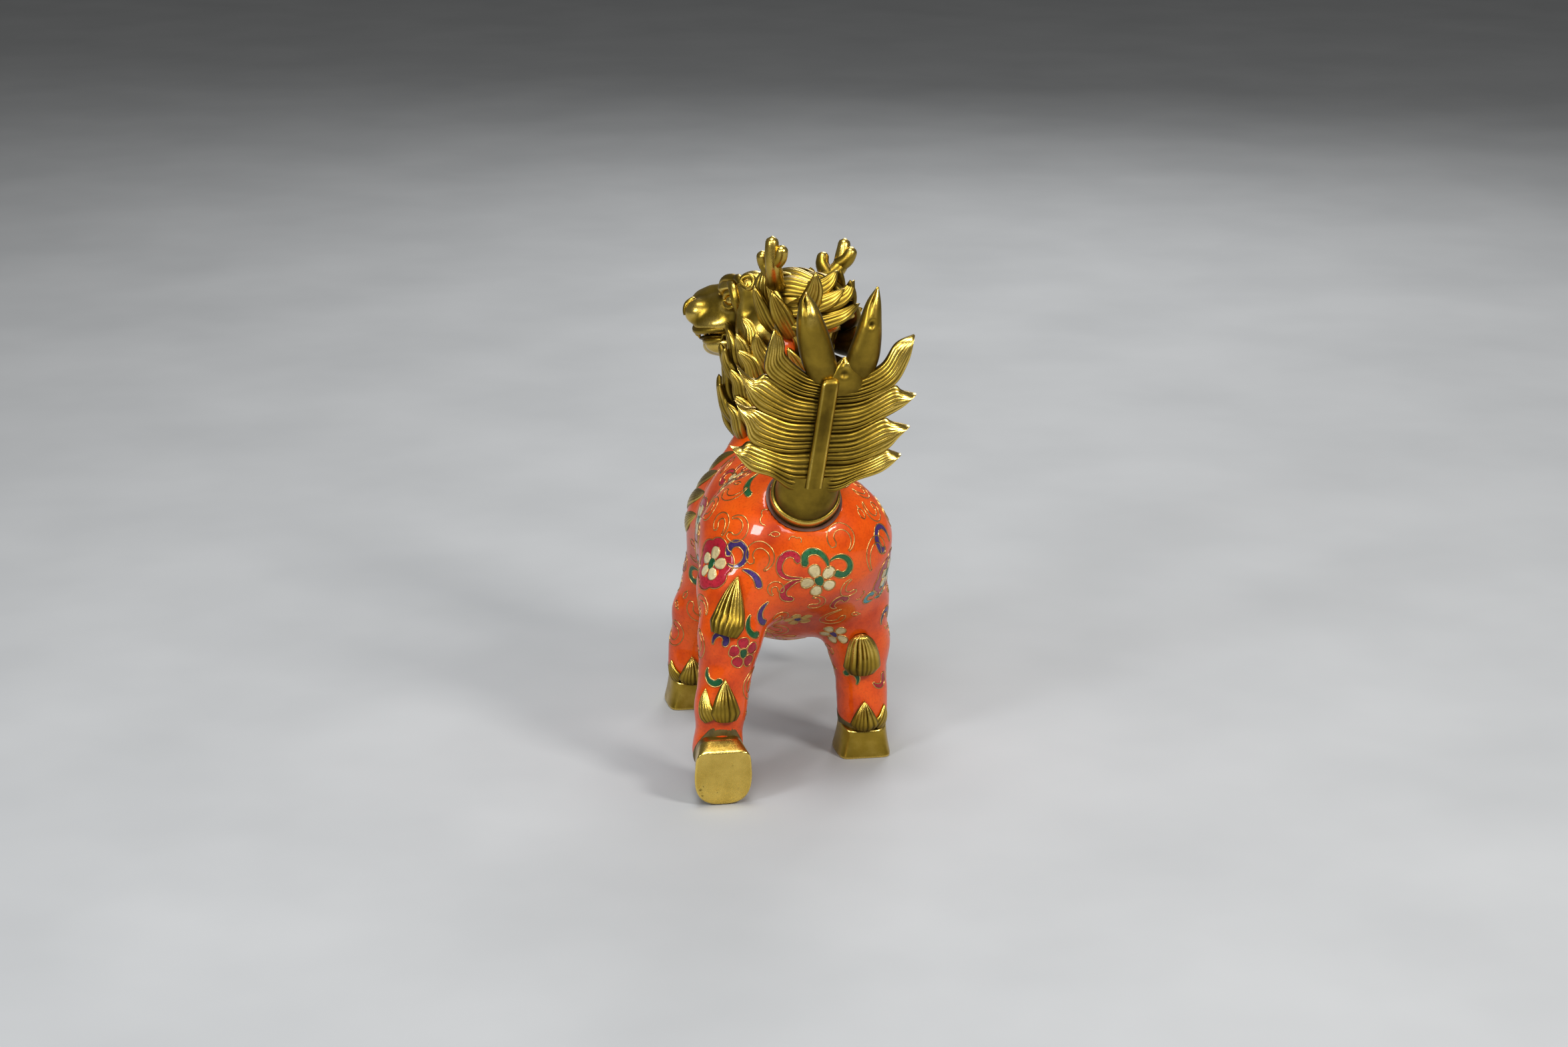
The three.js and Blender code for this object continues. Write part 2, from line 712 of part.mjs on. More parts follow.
// The swept-back body of the mane, from which its locks stand out
function maneMass() {
  const halfWidth = skullHalfWidth + 4;
  const field = blended([
    ball(onHead(-13, 0, 2), skullHalfLength - 1, halfWidth, skullHalfHeight - 2),
    ball(onHead(-5, 0, -6), skullHalfLength - 5, halfWidth - 1, skullHalfHeight + 2),
  ], 4);
  const lowest = onHead(-skullHalfLength - 12, -halfWidth, -skullHalfHeight - 8);
  const highest = onHead(skullHalfLength - 10, halfWidth, skullHalfHeight);
  return solidOf(surfaceOf(field, lowest, highest, skullCell + 0.6));
}

// A fan of mane locks swept back from the skull
function maneFan({ count, spread, rootReach, rootUp, reach, tipUp, width, stations = 4 }) {
  const locks = [];
  for (let n = 0; n < count; n += 1) {
    const share = count === 1 ? 0 : n / (count - 1) - 0.5;
    const angle = degrees(180 + spread * share);
    const outAlong = Math.cos(angle);
    const outLeft = Math.sin(angle);
    const long = reach * (n % 2 === 0 ? 1 : 0.86);
    const root = onHead(rootReach * outAlong, rootReach * outLeft, rootUp);
    const bendReach = mix(rootReach, long, 0.45);
    const sagReach = mix(rootReach, long, 0.75);
    const bend = onHead(bendReach * outAlong, bendReach * outLeft, rootUp + 3);
    const sag = onHead(sagReach * outAlong, sagReach * outLeft, mix(rootUp, tipUp, 0.4) + 1);
    const tip = onHead(long * outAlong, long * outLeft, tipUp);
    locks.push(lock({
      path: [root, bend, sag, tip],
      front: new THREE.Vector3(outAlong * 0.25, outLeft * 0.25, 1).normalize(),
      width,
      depth: 6,
      flutes: 1,
      stations,
    }));
  }
  return locks;
}

// Locks behind the jaw on one cheek, one under another, their tips turned up
function cheekLocks(side) {
  const locks = [];
  const count = 3;
  for (let n = 0; n < count; n += 1) {
    const share = n / (count - 1);
    const root = onHead(mix(2, -4, share), side * 13, mix(-6, -22, share));
    const tip = onHead(mix(-2, 2, share), side * mix(21, 23.5, share), mix(9, -8, share));
    const bend = root.clone().lerp(tip, 0.5).add(onHead(-5, side * 3, -1));
    locks.push(lock({
      path: [root, bend, tip],
      front: onHead(-0.5, side, 0).normalize(),
      width: maneLockWidth,
      depth: 6,
      flutes: 1,
      stations: 4,
    }));
  }
  return locks;
}

function earSolid(side) {
  return lock({
    path: [onHead(-1, side * 12, 5), onHead(-3, side * 15.5, 12), onHead(-5, side * 17, 19)],
    front: onHead(0.6, side, 0.2).normalize(),
    width: 8.5,
    depth: 5,
    flutes: 1,
    stations: 4,
    swell: (along) => 0.75 + 0.3 * Math.sin(Math.PI * along) - 0.25 * along,
  });
}

function beardLocks() {
  const locks = [];
  for (const left of [-7, 0, 7]) {
    const root = onHead(25 - Math.abs(left) * 0.5, left, -15);
    const middle = root.clone().add(onHead(-3, left * 0.3, -beardLength * 0.5));
    const tip = root.clone().add(onHead(-10, left * 0.5, -beardLength));
    locks.push(lock({
      path: [root, middle, tip],
      front: onHead(1, left * 0.06, -0.3).normalize(),
      width: 8,
      depth: 5.5,
      flutes: 1,
      stations: 3,
    }));
  }
  return locks;
}

// Locks round the neck under the head, in rows that leave the nape bare, their tips turned up
function neckLocks() {
  const locks = [];
  const rows = 4;
  for (let row = 0; row < rows; row += 1) {
    const share = row / (rows - 1);
    const height = mix(neckTopHeight - 2, neckFootHeight + 1, share);
    const across = row % 2 === 0 ? [-130, -78, -26, 26, 78, 130] : [-104, -52, 0, 52, 104, 150];
    for (const around of across) {
      const angle = degrees(around);
      const outward = place(Math.sin(angle), Math.cos(angle), 0);
      const leftward = Math.max(Math.sin(angle), 0);
      const fullness = maneFullness * leftward * Math.sin(Math.PI * mix(0.3, 0.8, share));
      const middle = place(mix(neckTopLeft, neckFootLeft, share) + fullness, 47, height);
      const root = middle.clone().addScaledVector(outward, neckRadius).add(place(0, 0, -8));
      const bend = middle.clone().addScaledVector(outward, neckRadius + mix(4, 2.4, share));
      const tip = middle.clone().addScaledVector(outward, neckRadius + mix(9, 4, share)).add(place(0, 0, 10));
      locks.push(lock({
        path: [root, bend, tip],
        front: outward,
        width: 14,
        depth: 7,
        flutes: 1,
        stations: 3,
      }));
    }
  }
  return locks;
}

// The sleeve of metal that carries the neck's locks, open at the nape
function neckSleeve() {
  const radius = neckRadius + sleeveThickness;
  const field = blended([
    limb(place(neckTopLeft, 47.5, neckTopHeight - 4), radius,
      place(neckFootLeft, 46.5, neckFootHeight + 3), radius),
    limb(place(neckTopLeft + maneFullness, 48, neckTopHeight - 8), radius,
      place(neckFootLeft + maneFullness - 2, 47, neckFootHeight + 14), radius - 3),
    ball(skullMiddle.clone().add(place(3, 2, -14)), radius - 2, radius - 2, radius - 3),
  ], 4);
  const lowest = place(neckTopLeft - radius, 47.5 + radius, neckFootHeight - radius);
  const highest = place(neckFootLeft + maneFullness + radius, 47.5 - radius, neckTopHeight + radius);
  const sleeve = solidOf(surfaceOf(field, lowest, highest, skullCell + 1));
  const gap = new THREE.BoxGeometry(napeGapWidth, 26, 52);
  const gapMiddle = place(neckTopLeft - 3, 25, mix(neckFootHeight, neckTopHeight, 0.45));
  return sleeve.subtract(solidOf(gap.translate(gapMiddle.x, gapMiddle.y, gapMiddle.z)));
}

function headSolid() {
  const pair = (make) => [make(1), make(-1)].flat();
  const face = skullSolid().subtract(mouthCut());
  const inHeadFrame = [
    face,
    ...pair(eyeSolid),
    ...pair(antlerSolids),
    ...pair(earSolid),
    ...pair(cheekLocks),
    ...beardLocks(),
    maneMass(),
    ...maneFan({
      count: 5,
      spread: 130,
      rootReach: 10,
      rootUp: 8,
      reach: maneReach - 6,
      tipUp: 10,
      width: maneLockWidth + 3,
    }),
    ...maneFan({
      count: 6,
      spread: 160,
      rootReach: 14,
      rootUp: -1,
      reach: maneReach,
      tipUp: -2,
      width: maneLockWidth + 3,
    }),
  ];
  const casting = joined(inHeadFrame).transform(headPose.elements);
  return cleaned(joined([casting, neckSleeve(), ...neckLocks()]).subtract(bodyClearance));
}

// A point moved square onto the body's skin, then lifted off it
function settled(point, lift) {
  const spot = point.clone();
  for (let pass = 0; pass < 6; pass += 1) {
    spot.addScaledVector(slopeOf(bodyField, spot), -0.9 * bodyField(spot));
  }
  return spot.addScaledVector(slopeOf(bodyField, spot), lift);
}

// Gilt shells and flames laid on the body: a fluted lock with its back pressed to the skin
function laidOn(points, { width, depth, flutes = 3, stations = 5, pointed = 1.6 }) {
  const path = points.map((point, n) => settled(point, n === points.length - 1 ? 1.4 : 0.6));
  return lock({
    path,
    front: slopeOf(bodyField, path[1]),
    width,
    depth,
    flutes,
    stations,
    swell: (along) => Math.sqrt(Math.max(1 - along ** pointed, 0)) * (0.74 + 0.36 * along),
  });
}

const fitted = (solids) => cleaned(joined(solids).subtract(bodyClearance));

// A fetlock tuft: a pointed shell behind the leg, with a small one beside it on the outer side
function fetlockTuft(left, backOfLeg, low, high) {
  const outer = Math.sign(left);
  const middle = mix(low, high, 0.5);
  return fitted([
    laidOn([place(left, backOfLeg, low), place(left, backOfLeg - 1, middle), place(left, backOfLeg, high)],
      { width: 12.5, depth: 7 }),
    laidOn([
      place(left + outer * 7, backOfLeg + 4, low + 0.5),
      place(left + outer * 8, backOfLeg + 5, mix(low, high, 0.3)),
      place(left + outer * 8.5, backOfLeg + 6, mix(low, high, 0.75)),
    ], { width: 8.5, depth: 5, flutes: 1, stations: 4 }),
  ]);
}

// A flame of tongues laid on the shoulder, swept up and back. Left, forward, and above the barrel's middle
function shoulderFlame(side) {
  const tongues = [
    { root: [28, 54, -7], bend: [31, 42, -2], tip: [34, 24, 1] },
    { root: [27, 55, -1], bend: [29, 43, 6], tip: [32, 24, 11] },
    { root: [24, 55, 5], bend: [26, 44, 13], tip: [27, 26, 20] },
    { root: [21, 54, 10], bend: [22, 44, 19], tip: [19, 28, 27] },
  ];
  return fitted(tongues.map(({ root, bend, tip }) => laidOn(
    [root, bend, tip].map(([left, forward, rise]) => place(side * left, forward, barrelHeight + rise)),
    { width: 12, depth: 4.4, flutes: 2, pointed: 1.3 },
  )));
}

const tufts = {
  hock_tuft_left: fitted([laidOn(
    [place(34, -61, 68.5), place(32, -62, 79.5), place(30, -61, 93)], { width: 14.5, depth: 9, flutes: 4 },
  )]),
  hock_tuft_right: fitted([laidOn(
    [place(-27.5, -31, 39), place(-27.5, -32, 47), place(-26.5, -32, 57)],
    { width: 16, depth: 9, flutes: 4, pointed: 2.6 },
  )]),
  fetlock_tuft_front_left: fetlockTuft(34, 41, 13.5, 24.5),
  fetlock_tuft_front_right: fetlockTuft(-31, 61, 52, 64),
  fetlock_tuft_hind_left: fetlockTuft(34, -64, 34, 51),
  fetlock_tuft_hind_right: fetlockTuft(-29, -29.5, 14, 26),
  shoulder_flame_left: shoulderFlame(1),
  shoulder_flame_right: shoulderFlame(-1),
};

// Materials
function finish(color, roughness, metalness) {
  return new THREE.MeshStandardMaterial({ color, roughness, metalness });
}
const enamel = finish(0xe8591a, 0.25, 0);
const gilt = finish(0x9a8030, 0.35, 0.9);

const figure = new THREE.Group();
function addPiece(name, geometry, material) {
  const mesh = new THREE.Mesh(geometry, material);
  mesh.name = name;
  figure.add(mesh);
}

addPiece("body", geometryOf(bodySolid()), enamel);
addPiece("head", geometryOf(headSolid()), gilt);
addPiece("tail_plume", geometryOf(plumeSolid()), gilt);
for (const [name, foot] of Object.entries(feet)) {
  addPiece(`hoof_${name}`, hoofGeometry().applyMatrix4(foot), gilt);
}
for (const [name, solid] of Object.entries(tufts)) {
  addPiece(name, geometryOf(solid), gilt);
}

// The origin is on the ground under the middle of the figure
const extent = new THREE.Box3().setFromObject(figure);
figure.position.set(
  -(extent.min.x + extent.max.x) / 2,
  -(extent.min.y + extent.max.y) / 2,
  -extent.min.z,
);

export default figure;
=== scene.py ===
# Looks of the enamelled qilin figure. Shapes are worked out in millimetres in the animal's own frame
# (its left is +X, it faces -Y, the ground is z = 0) and turned into metres when a mesh is made.
import math
import bmesh
import bpy
import numpy as np
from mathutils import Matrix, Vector


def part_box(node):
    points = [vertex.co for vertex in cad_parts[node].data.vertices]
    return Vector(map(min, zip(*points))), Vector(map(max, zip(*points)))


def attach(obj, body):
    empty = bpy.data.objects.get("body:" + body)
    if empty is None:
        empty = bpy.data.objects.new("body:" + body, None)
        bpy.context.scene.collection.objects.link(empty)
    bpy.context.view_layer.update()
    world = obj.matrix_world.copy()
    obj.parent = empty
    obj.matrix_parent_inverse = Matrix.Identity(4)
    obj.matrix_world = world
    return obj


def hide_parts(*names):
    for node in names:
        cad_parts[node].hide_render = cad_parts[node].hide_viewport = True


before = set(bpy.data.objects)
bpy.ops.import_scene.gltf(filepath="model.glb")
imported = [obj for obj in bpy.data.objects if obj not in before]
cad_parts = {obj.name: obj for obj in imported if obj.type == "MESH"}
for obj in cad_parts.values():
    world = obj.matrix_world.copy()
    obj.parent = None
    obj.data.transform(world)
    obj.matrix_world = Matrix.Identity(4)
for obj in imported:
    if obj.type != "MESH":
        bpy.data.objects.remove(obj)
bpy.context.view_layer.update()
rng = np.random.default_rng(7)
MILLIMETRES = 1000  # in a metre

# Where the animal's frame lies in the part's frame: its front left hoof stands at these places
FRONT_FOOT_LEFT = 33.0
FRONT_FOOT_FORWARD = 52.0
foot_low, foot_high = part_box("hoof_front_left")
SHIFT = np.array([
    (foot_low[0] + foot_high[0]) / 2 * MILLIMETRES - FRONT_FOOT_LEFT,
    (foot_low[1] + foot_high[1]) / 2 * MILLIMETRES + FRONT_FOOT_FORWARD,
    0.0,
])


# Small tools
def place(left, forward, height):
    return np.array([left, -forward, height], float)


def unit(vectors):
    vectors = np.asarray(vectors, float)
    lengths = np.linalg.norm(vectors, axis=-1, keepdims=True)
    return vectors / np.maximum(lengths, 1e-9)


def mix(a, b, share):
    return a + (b - a) * share


def all_round(angle, across, upward):
    """Directions at the angles round a circle, from across towards upward."""
    return np.cos(angle)[:, None] * across + np.sin(angle)[:, None] * upward


def full_circle(count):
    return np.linspace(0, 2 * math.pi, count, endpoint=False)


# Places worked out between each two points of a curve
CURVE_STEPS = 24


def curve(points, count):
    """Evenly spaced places on a smooth line through the points."""
    points = np.asarray(points, float)
    ends = np.vstack([2 * points[0] - points[1], points, 2 * points[-1] - points[-2]])
    fine = []
    for i in range(len(points) - 1):
        a, b, c, d = ends[i:i + 4]
        t = np.linspace(0, 1, CURVE_STEPS, endpoint=False)[:, None]
        fine.append(0.5 * (2 * b + (c - a) * t + (2 * a - 5 * b + 4 * c - d) * t ** 2
                           + (3 * b - a - 3 * c + d) * t ** 3))
    fine.append(points[-1:])
    fine = np.vstack(fine)
    run = np.concatenate([[0], np.cumsum(np.linalg.norm(np.diff(fine, axis=0), axis=1))])
    wanted = np.linspace(0, run[-1], count)
    return np.stack([np.interp(wanted, run, fine[:, k]) for k in range(fine.shape[1])], 1)


# Soft forms: functions that give how far a point lies outside a form
def ball(centre, x, y, z):
    centre = np.asarray(centre, float)
    radii = np.array([x, y, z], float)

    def distance(p):
        away = (p - centre) / radii
        outward = np.linalg.norm(away, axis=-1)
        slope = np.linalg.norm(away / radii, axis=-1)
        return np.where(slope > 0, outward * (outward - 1) / np.maximum(slope, 1e-9), -radii.min())
    return distance


def limb(start, start_radius, end, end_radius):
    start = np.asarray(start, float)
    axis = np.asarray(end, float) - start
    square = axis @ axis

    def distance(p):
        away = p - start
        along = np.clip(away @ axis / square, 0, 1)
        nearest = away - along[..., None] * axis
        return np.linalg.norm(nearest, axis=-1) - mix(start_radius, end_radius, along)
    return distance


def blended(fields, softness):
    def distance(p):
        nearest = fields[0](p)
        for field in fields[1:]:
            other = field(p)
            overlap = np.maximum(softness - np.abs(nearest - other), 0) / softness
            nearest = np.minimum(nearest, other) - overlap ** 2 * softness / 4
        return nearest
    return distance


def cut(field, tool, softness):
    """A form with another one cut out of it, its edge eased."""
    def distance(p):
        a = field(p)
        b = -tool(p)
        overlap = np.maximum(softness - np.abs(a - b), 0) / softness
        return np.maximum(a, b) + overlap ** 2 * softness / 4
    return distance


def chain(joints, softness):
    links = [limb(a[0], a[1], b[0], b[1]) for a, b in zip(joints, joints[1:])]
    return blended(links, softness)


# Four places round a point, at this reach from it, that give a field's slope there
CORNERS = np.array([[1, -1, -1], [-1, -1, 1], [-1, 1, -1], [1, 1, 1]], float)
SLOPE_REACH = 0.05


def slope_of(field, p):
    """The direction in which a field rises, which is outward from its form."""
    return unit(sum(field(p + SLOPE_REACH * corner)[..., None] * corner for corner in CORNERS))


def settle(field, p, passes=3):
    """Points moved onto the field's surface."""
    for _ in range(passes):
        p = p - 0.95 * field(p)[:, None] * slope_of(field, p)
    return p


def surface_of(field, low, high, cell, passes=3):
    """The closed surface of a field, with one vertex in each grid cell that it crosses."""
    counts = np.ceil((high - low) / cell).astype(int) + 1
    axes = [low[k] + cell * np.arange(counts[k]) for k in range(3)]
    values = np.empty(counts)
    for i, x in enumerate(axes[0]):
        grid = np.stack(np.meshgrid([x], axes[1], axes[2], indexing="ij"), -1).reshape(-1, 3)
        values[i] = field(grid).reshape(counts[1], counts[2])
    inside = values < 0
    cells = counts - 1
    corners = [(i, j, k) for i in (0, 1) for j in (0, 1) for k in (0, 1)]

    def at(array, corner):
        i, j, k = corner
        return array[i:i + cells[0], j:j + cells[1], k:k + cells[2]]
    total = sum(at(inside, corner).astype(int) for corner in corners)
    active = (total > 0) & (total < 8)
    spots = np.argwhere(active)
    place_sum = np.zeros((len(spots), 3))
    crossings = np.zeros(len(spots))
    for a in corners:
        for b in corners:
            if sum(b) - sum(a) == 1 and all(q >= p for p, q in zip(a, b)):
                value_a = at(values, a)[active]
                value_b = at(values, b)[active]
                crossed = (value_a < 0) != (value_b < 0)
                share = np.where(crossed, value_a / np.where(crossed, value_a - value_b, 1), 0)
                spot = np.array(a) + share[:, None] * (np.array(b) - np.array(a))
                place_sum += np.where(crossed[:, None], spot, 0)
                crossings += crossed
    verts = low + cell * (spots + place_sum / crossings[:, None])
    verts = settle(field, verts, passes)
    index = np.full(cells, -1)
    index[active] = np.arange(len(spots))
    faces = []
    for axis in range(3):
        u, v = [(1, 2), (2, 0), (0, 1)][axis]
        first = [slice(1, cells[k]) for k in range(3)]
        second = list(first)
        first[axis] = slice(0, cells[axis])
        second[axis] = slice(1, cells[axis] + 1)
        first_inside = inside[tuple(first)]
        second_inside = inside[tuple(second)]
        crossed = np.argwhere(first_inside != second_inside)
        offset = np.array([1, 1, 1])
        offset[axis] = 0
        crossed = crossed + offset
        step_u = np.eye(3, dtype=int)[u]
        step_v = np.eye(3, dtype=int)[v]
        ring = [crossed - step_u - step_v, crossed - step_v, crossed, crossed - step_u]
        quad = np.stack([index[tuple(c.T)] for c in ring], 1)
        leaving = inside[tuple(crossed.T)]
        quad = np.where(leaving[:, None], quad, quad[:, ::-1])
        faces.append(quad)
    faces = np.vstack(faces)
    faces = faces[(faces >= 0).all(1)]
    return verts, faces


# Meshes
class Shell:
    """Closed shells gathered into one piece, with a number for each vertex from 0 in a recess to 1 on a
    crest: its wear, and in a few places a painted highlight.
    """

    def __init__(self):
        self.verts = []
        self.faces = []
        self.wear_and_highlight = []
        self.count = 0

    def add(self, verts, faces, wear_and_highlight=None):
        self.verts.append(np.asarray(verts, float))
        self.faces.extend((np.asarray(f) + self.count).tolist() for f in faces)
        self.wear_and_highlight.append(np.full(len(verts), 0.5) if wear_and_highlight is None else np.asarray(wear_and_highlight, float))
        self.count += len(verts)

    def join(self, other, moved):
        """Take in another shell, with its vertices moved."""
        for verts, wear_and_highlight in zip(other.verts, other.wear_and_highlight):
            self.verts.append(moved(verts))
            self.wear_and_highlight.append(wear_and_highlight)
        self.faces.extend([[n + self.count for n in f] for f in other.faces])
        self.count += other.count

    def piece(self, name, material, slot, replaced=(), sharp=None):
        mesh = bpy.data.meshes.new(name)
        verts = (np.vstack(self.verts) + SHIFT) / MILLIMETRES
        mesh.from_pydata(verts.tolist(), [], self.faces)
        mesh.validate()
        attribute = mesh.attributes.new("wear_and_highlight", "FLOAT", "POINT")
        attribute.data.foreach_set("value", np.concatenate(self.wear_and_highlight).astype(np.float32))
        facing_out = bmesh.new()
        facing_out.from_mesh(mesh)
        bmesh.ops.recalc_face_normals(facing_out, faces=facing_out.faces)
        facing_out.to_mesh(mesh)
        facing_out.free()
        mesh.polygons.foreach_set("use_smooth", [True] * len(mesh.polygons))
        if sharp is not None:
            mesh.set_sharp_from_angle(angle=math.radians(sharp))
        mesh.update()
        made = bpy.data.objects.new(name, mesh)
        bpy.context.scene.collection.objects.link(made)
        made.data.materials.append(material)
        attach(made, "root")
        for node in replaced:
            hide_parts(node)


def rings_skin(rings):
    """Faces and vertices of a closed skin over rings of equal count, with a fan at each end."""
    count = len(rings[0])
    verts = [np.asarray(ring, float) for ring in rings]
    faces = []
    for r in range(len(rings) - 1):
        a = r * count + np.arange(count)
        b = r * count + (np.arange(count) + 1) % count
        faces.extend(np.stack([a, b, b + count, a + count], 1).tolist())
    total = len(rings) * count
    first = verts[0].mean(0)
    last = verts[-1].mean(0)
    for n in range(count):
        m = (n + 1) % count
        faces.append([m, n, total])
        faces.append([total - count + n, total - count + m, total + 1])
    return np.vstack(verts + [first[None], last[None]]), faces


def swept(rings, wear_and_highlight, ends):
    """A closed skin over rings, with each ring's wear and that of the two end points."""
    verts, faces = rings_skin(rings)
    return verts, faces, np.clip(np.concatenate([np.asarray(wear_and_highlight_level, float) for wear_and_highlight_level in wear_and_highlight] + [ends]), 0, 1)


def make_piece(name, parts, material, slot="gilt", replaced=(), sharp=None):
    shell = Shell()
    for part in parts:
        shell.add(*part)
    shell.piece(name, material, slot, replaced, sharp)


def bumps(verts, faces, passes, scale):
    """How far each vertex stands above its smoothed neighbourhood, from 0 to 1."""
    edges = set()
    for face in faces:
        for a, b in zip(face, list(face[1:]) + [face[0]]):
            edges.add((min(a, b), max(a, b)))
    edges = np.array(sorted(edges))
    degree = np.bincount(edges.ravel(), minlength=len(verts)).astype(float)
    normal = np.zeros_like(verts)
    quads = np.array([f[:4] if len(f) > 3 else list(f) + [f[2]] for f in faces])
    across = np.cross(verts[quads[:, 2]] - verts[quads[:, 0]], verts[quads[:, 3]] - verts[quads[:, 1]])
    for k in range(4):
        np.add.at(normal, quads[:, k], across)
    normal = unit(normal)
    smooth = verts.copy()
    for _ in range(passes):
        total = np.zeros_like(verts)
        np.add.at(total, edges[:, 0], smooth[edges[:, 1]])
        np.add.at(total, edges[:, 1], smooth[edges[:, 0]])
        smooth = 0.5 * smooth + 0.5 * total / np.maximum(degree, 1)[:, None]
    height = ((verts - smooth) * normal).sum(1)
    return np.clip(0.5 + 0.5 * height / scale, 0, 1)


def flame(along):
    """Width of a lock from its root, 0, to its tip, 1."""
    return (0.66 + 0.9 * along) * np.clip(1 - along ** 2.4, 0, 1) ** 0.9


def lock(path, front, width, depth, flutes=4, stations=18, swell=flame, groove=0.34, sides=6, rubbed=1.0):
    """A tapering lock along a bent line, with an unevenly fluted front and a plain rounded back."""
    line = curve(path, stations + 1)
    tangent = unit(np.gradient(line, axis=0))
    across = unit(np.cross(tangent, np.asarray(front, float)))
    outward = unit(np.cross(across, tangent))
    share = np.linspace(-1, 1, sides * flutes + 1)
    crown = np.sqrt(1.04 - share ** 2)
    uneven = share + 0.13 * (1 - share ** 2) * np.cos(2.6 * share + width)
    ridge = np.abs(np.sin(math.pi * flutes * (uneven + 1) / 2)) ** 0.7
    ridge = 1 - (1 - ridge) * (0.72 + 0.28 * np.sin(3.1 * share + depth))
    back = np.linspace(1, -1, 7)[1:-1]
    rings = []
    wear_and_highlight = []
    for n in range(stations + 1):
        along = n / stations
        half = width / 2 * max(swell(along), 0.015)
        high = depth / 2 * math.sqrt(max(swell(along), 0.0004))
        cutting = groove * min(1, 0.25 + 1.6 * along) * (1 - 0.5 * along ** 3)
        lift = crown * (1 - cutting * (1 - ridge)) * high
        front_line = line[n] + across[n] * (share * half)[:, None] + outward[n] * lift[:, None]
        back_line = line[n] + across[n] * (back * half)[:, None] \
            - outward[n] * (0.7 * high * np.sqrt(1.04 - back ** 2))[:, None]
        rings.append(np.vstack([front_line, back_line]))
        crest = np.concatenate([0.15 + 0.65 * ridge, np.full(len(back), 0.25)])
        wear_and_highlight.append(rubbed * crest * mix(0.45, 1.15, along ** 0.7))
    return swept(rings, wear_and_highlight, [0.2, rubbed])


# A direction that no bar runs along, which its rings are turned from
SIDEWAYS = (0.31, 0.2, 0.93)


def stem(path, radii, sides=14, stations=22):
    """A round bar along a bent line, with a rounded end."""
    line = curve(path, stations + 1)
    tangent = unit(np.gradient(line, axis=0))
    across = unit(np.cross(tangent, SIDEWAYS))
    outward = np.cross(across, tangent)
    angle = full_circle(sides)
    radius = np.interp(np.linspace(0, 1, stations + 1), np.linspace(0, 1, len(radii)), radii)
    left = np.linalg.norm(line[-1] - line, axis=1)
    end = radii[-1]
    radius = radius * np.sqrt(np.clip(1 - np.clip(1 - left / end, 0, 1) ** 2, 0.004, 1))
    rings = [line[n] + across[n] * (radius[n] * np.cos(angle))[:, None]
             + outward[n] * (radius[n] * np.sin(angle))[:, None] for n in range(stations + 1)]
    verts, faces = rings_skin(rings)
    along = np.repeat(np.linspace(0, 1, stations + 1), sides)
    return verts, faces, np.concatenate([mix(0.3, 0.8, along), [0.3, 0.9]])


# The body's form
BARREL = {"half_width": 36.5, "half_height": 41.0, "half_length": 48.0, "height": 87.0}
NECK_RADIUS = 14.5
NECK_TOP = (-8.5, 47.0, 158.0)
NECK_FOOT = (-2.5, 46.0, 118.0)
SHANK = 9.3
KNEE = 10.4
HOCK = 12.3
SOLE_WIDTH = 23.6
SOLE_LENGTH = 27.0
HEEL_HEIGHT = 11.5
TOE_HEIGHT = 20.0
TOP_BACK = 2.0
TOP_TILT = math.atan2(TOE_HEIGHT - HEEL_HEIGHT, SOLE_LENGTH)


def top_height(y):
    return (HEEL_HEIGHT + TOE_HEIGHT) / 2 - y * math.tan(TOP_TILT)


TOP_MIDDLE = np.array([0, TOP_BACK, top_height(TOP_BACK)])
TOP_NORMAL = np.array([0, math.sin(TOP_TILT), math.cos(TOP_TILT)])


def pitched(pitch, middle):
    """A function that turns hoof places by a pitch and moves them to the hoof's own place."""
    cos = math.cos(math.radians(pitch))
    sin = math.sin(math.radians(pitch))
    turn = np.array([[1, 0, 0], [0, cos, sin], [0, -sin, cos]])
    middle = np.asarray(middle, float)
    return lambda p: np.asarray(p, float) @ turn + middle


def hoof_outline(level):
    """One ring of the hoof, from the sole, 0, to the top, 1: a square heel and a rounded toe."""
    flare = (1 - level) ** 1.7
    half_width = mix(SHANK + 0.5, SOLE_WIDTH / 2, flare)
    half_length = mix(SHANK / math.cos(TOP_TILT) + 0.5, SOLE_LENGTH / 2, flare)
    angle = full_circle(104)
    power = np.where(np.sin(angle) > 0, 2 / mix(4.5, 9, flare), 2 / mix(2.3, 2.8, flare))
    x = half_width * np.sign(np.cos(angle)) * np.abs(np.cos(angle)) ** power
    along = np.sign(np.sin(angle)) * np.abs(np.sin(angle)) ** power
    return x * (1 - 0.14 * np.clip(along, 0, 1) ** 2), half_length * along + TOP_BACK * (1 - flare)


def lowest(pitch):
    """The lowest height of a hoof that is pitched about its own place."""
    depths = []
    for level in (0.012, 0.04, 0.09, 0.14, 0.2):
        x, y = hoof_outline(level)
        ring = np.stack([x, y, level * top_height(y)], 1)
        depths.append(pitched(pitch, (0, 0, 0))(ring)[:, 2].min())
    return min(depths)


# Degrees by which the raised hoof and the one that is pushed back are pitched
RAISED_PITCH = 50
PUSHED_PITCH = 83
FEET = {
    "front_left": pitched(0, place(FRONT_FOOT_LEFT, FRONT_FOOT_FORWARD, 0)),
    "front_right": pitched(RAISED_PITCH, place(-31, 62, 34)),
    "hind_left": pitched(PUSHED_PITCH, place(36, -73, -lowest(PUSHED_PITCH))),
    "hind_right": pitched(0, place(-30, -17, 0)),
}
# The foot whose sole shows
SHOWN_SOLE = "hind_left"


def leg(foot, joints):
    """Joints of a leg, the last of them square through the top of its hoof."""
    pose = FEET[foot]
    above = pose(TOP_MIDDLE + 3 * TOP_NORMAL)
    inside = pose(TOP_MIDDLE - 5 * TOP_NORMAL)
    return chain([(place(*at), radius) for *at, radius in joints] + [(above, SHANK), (inside, SHANK)], 4)


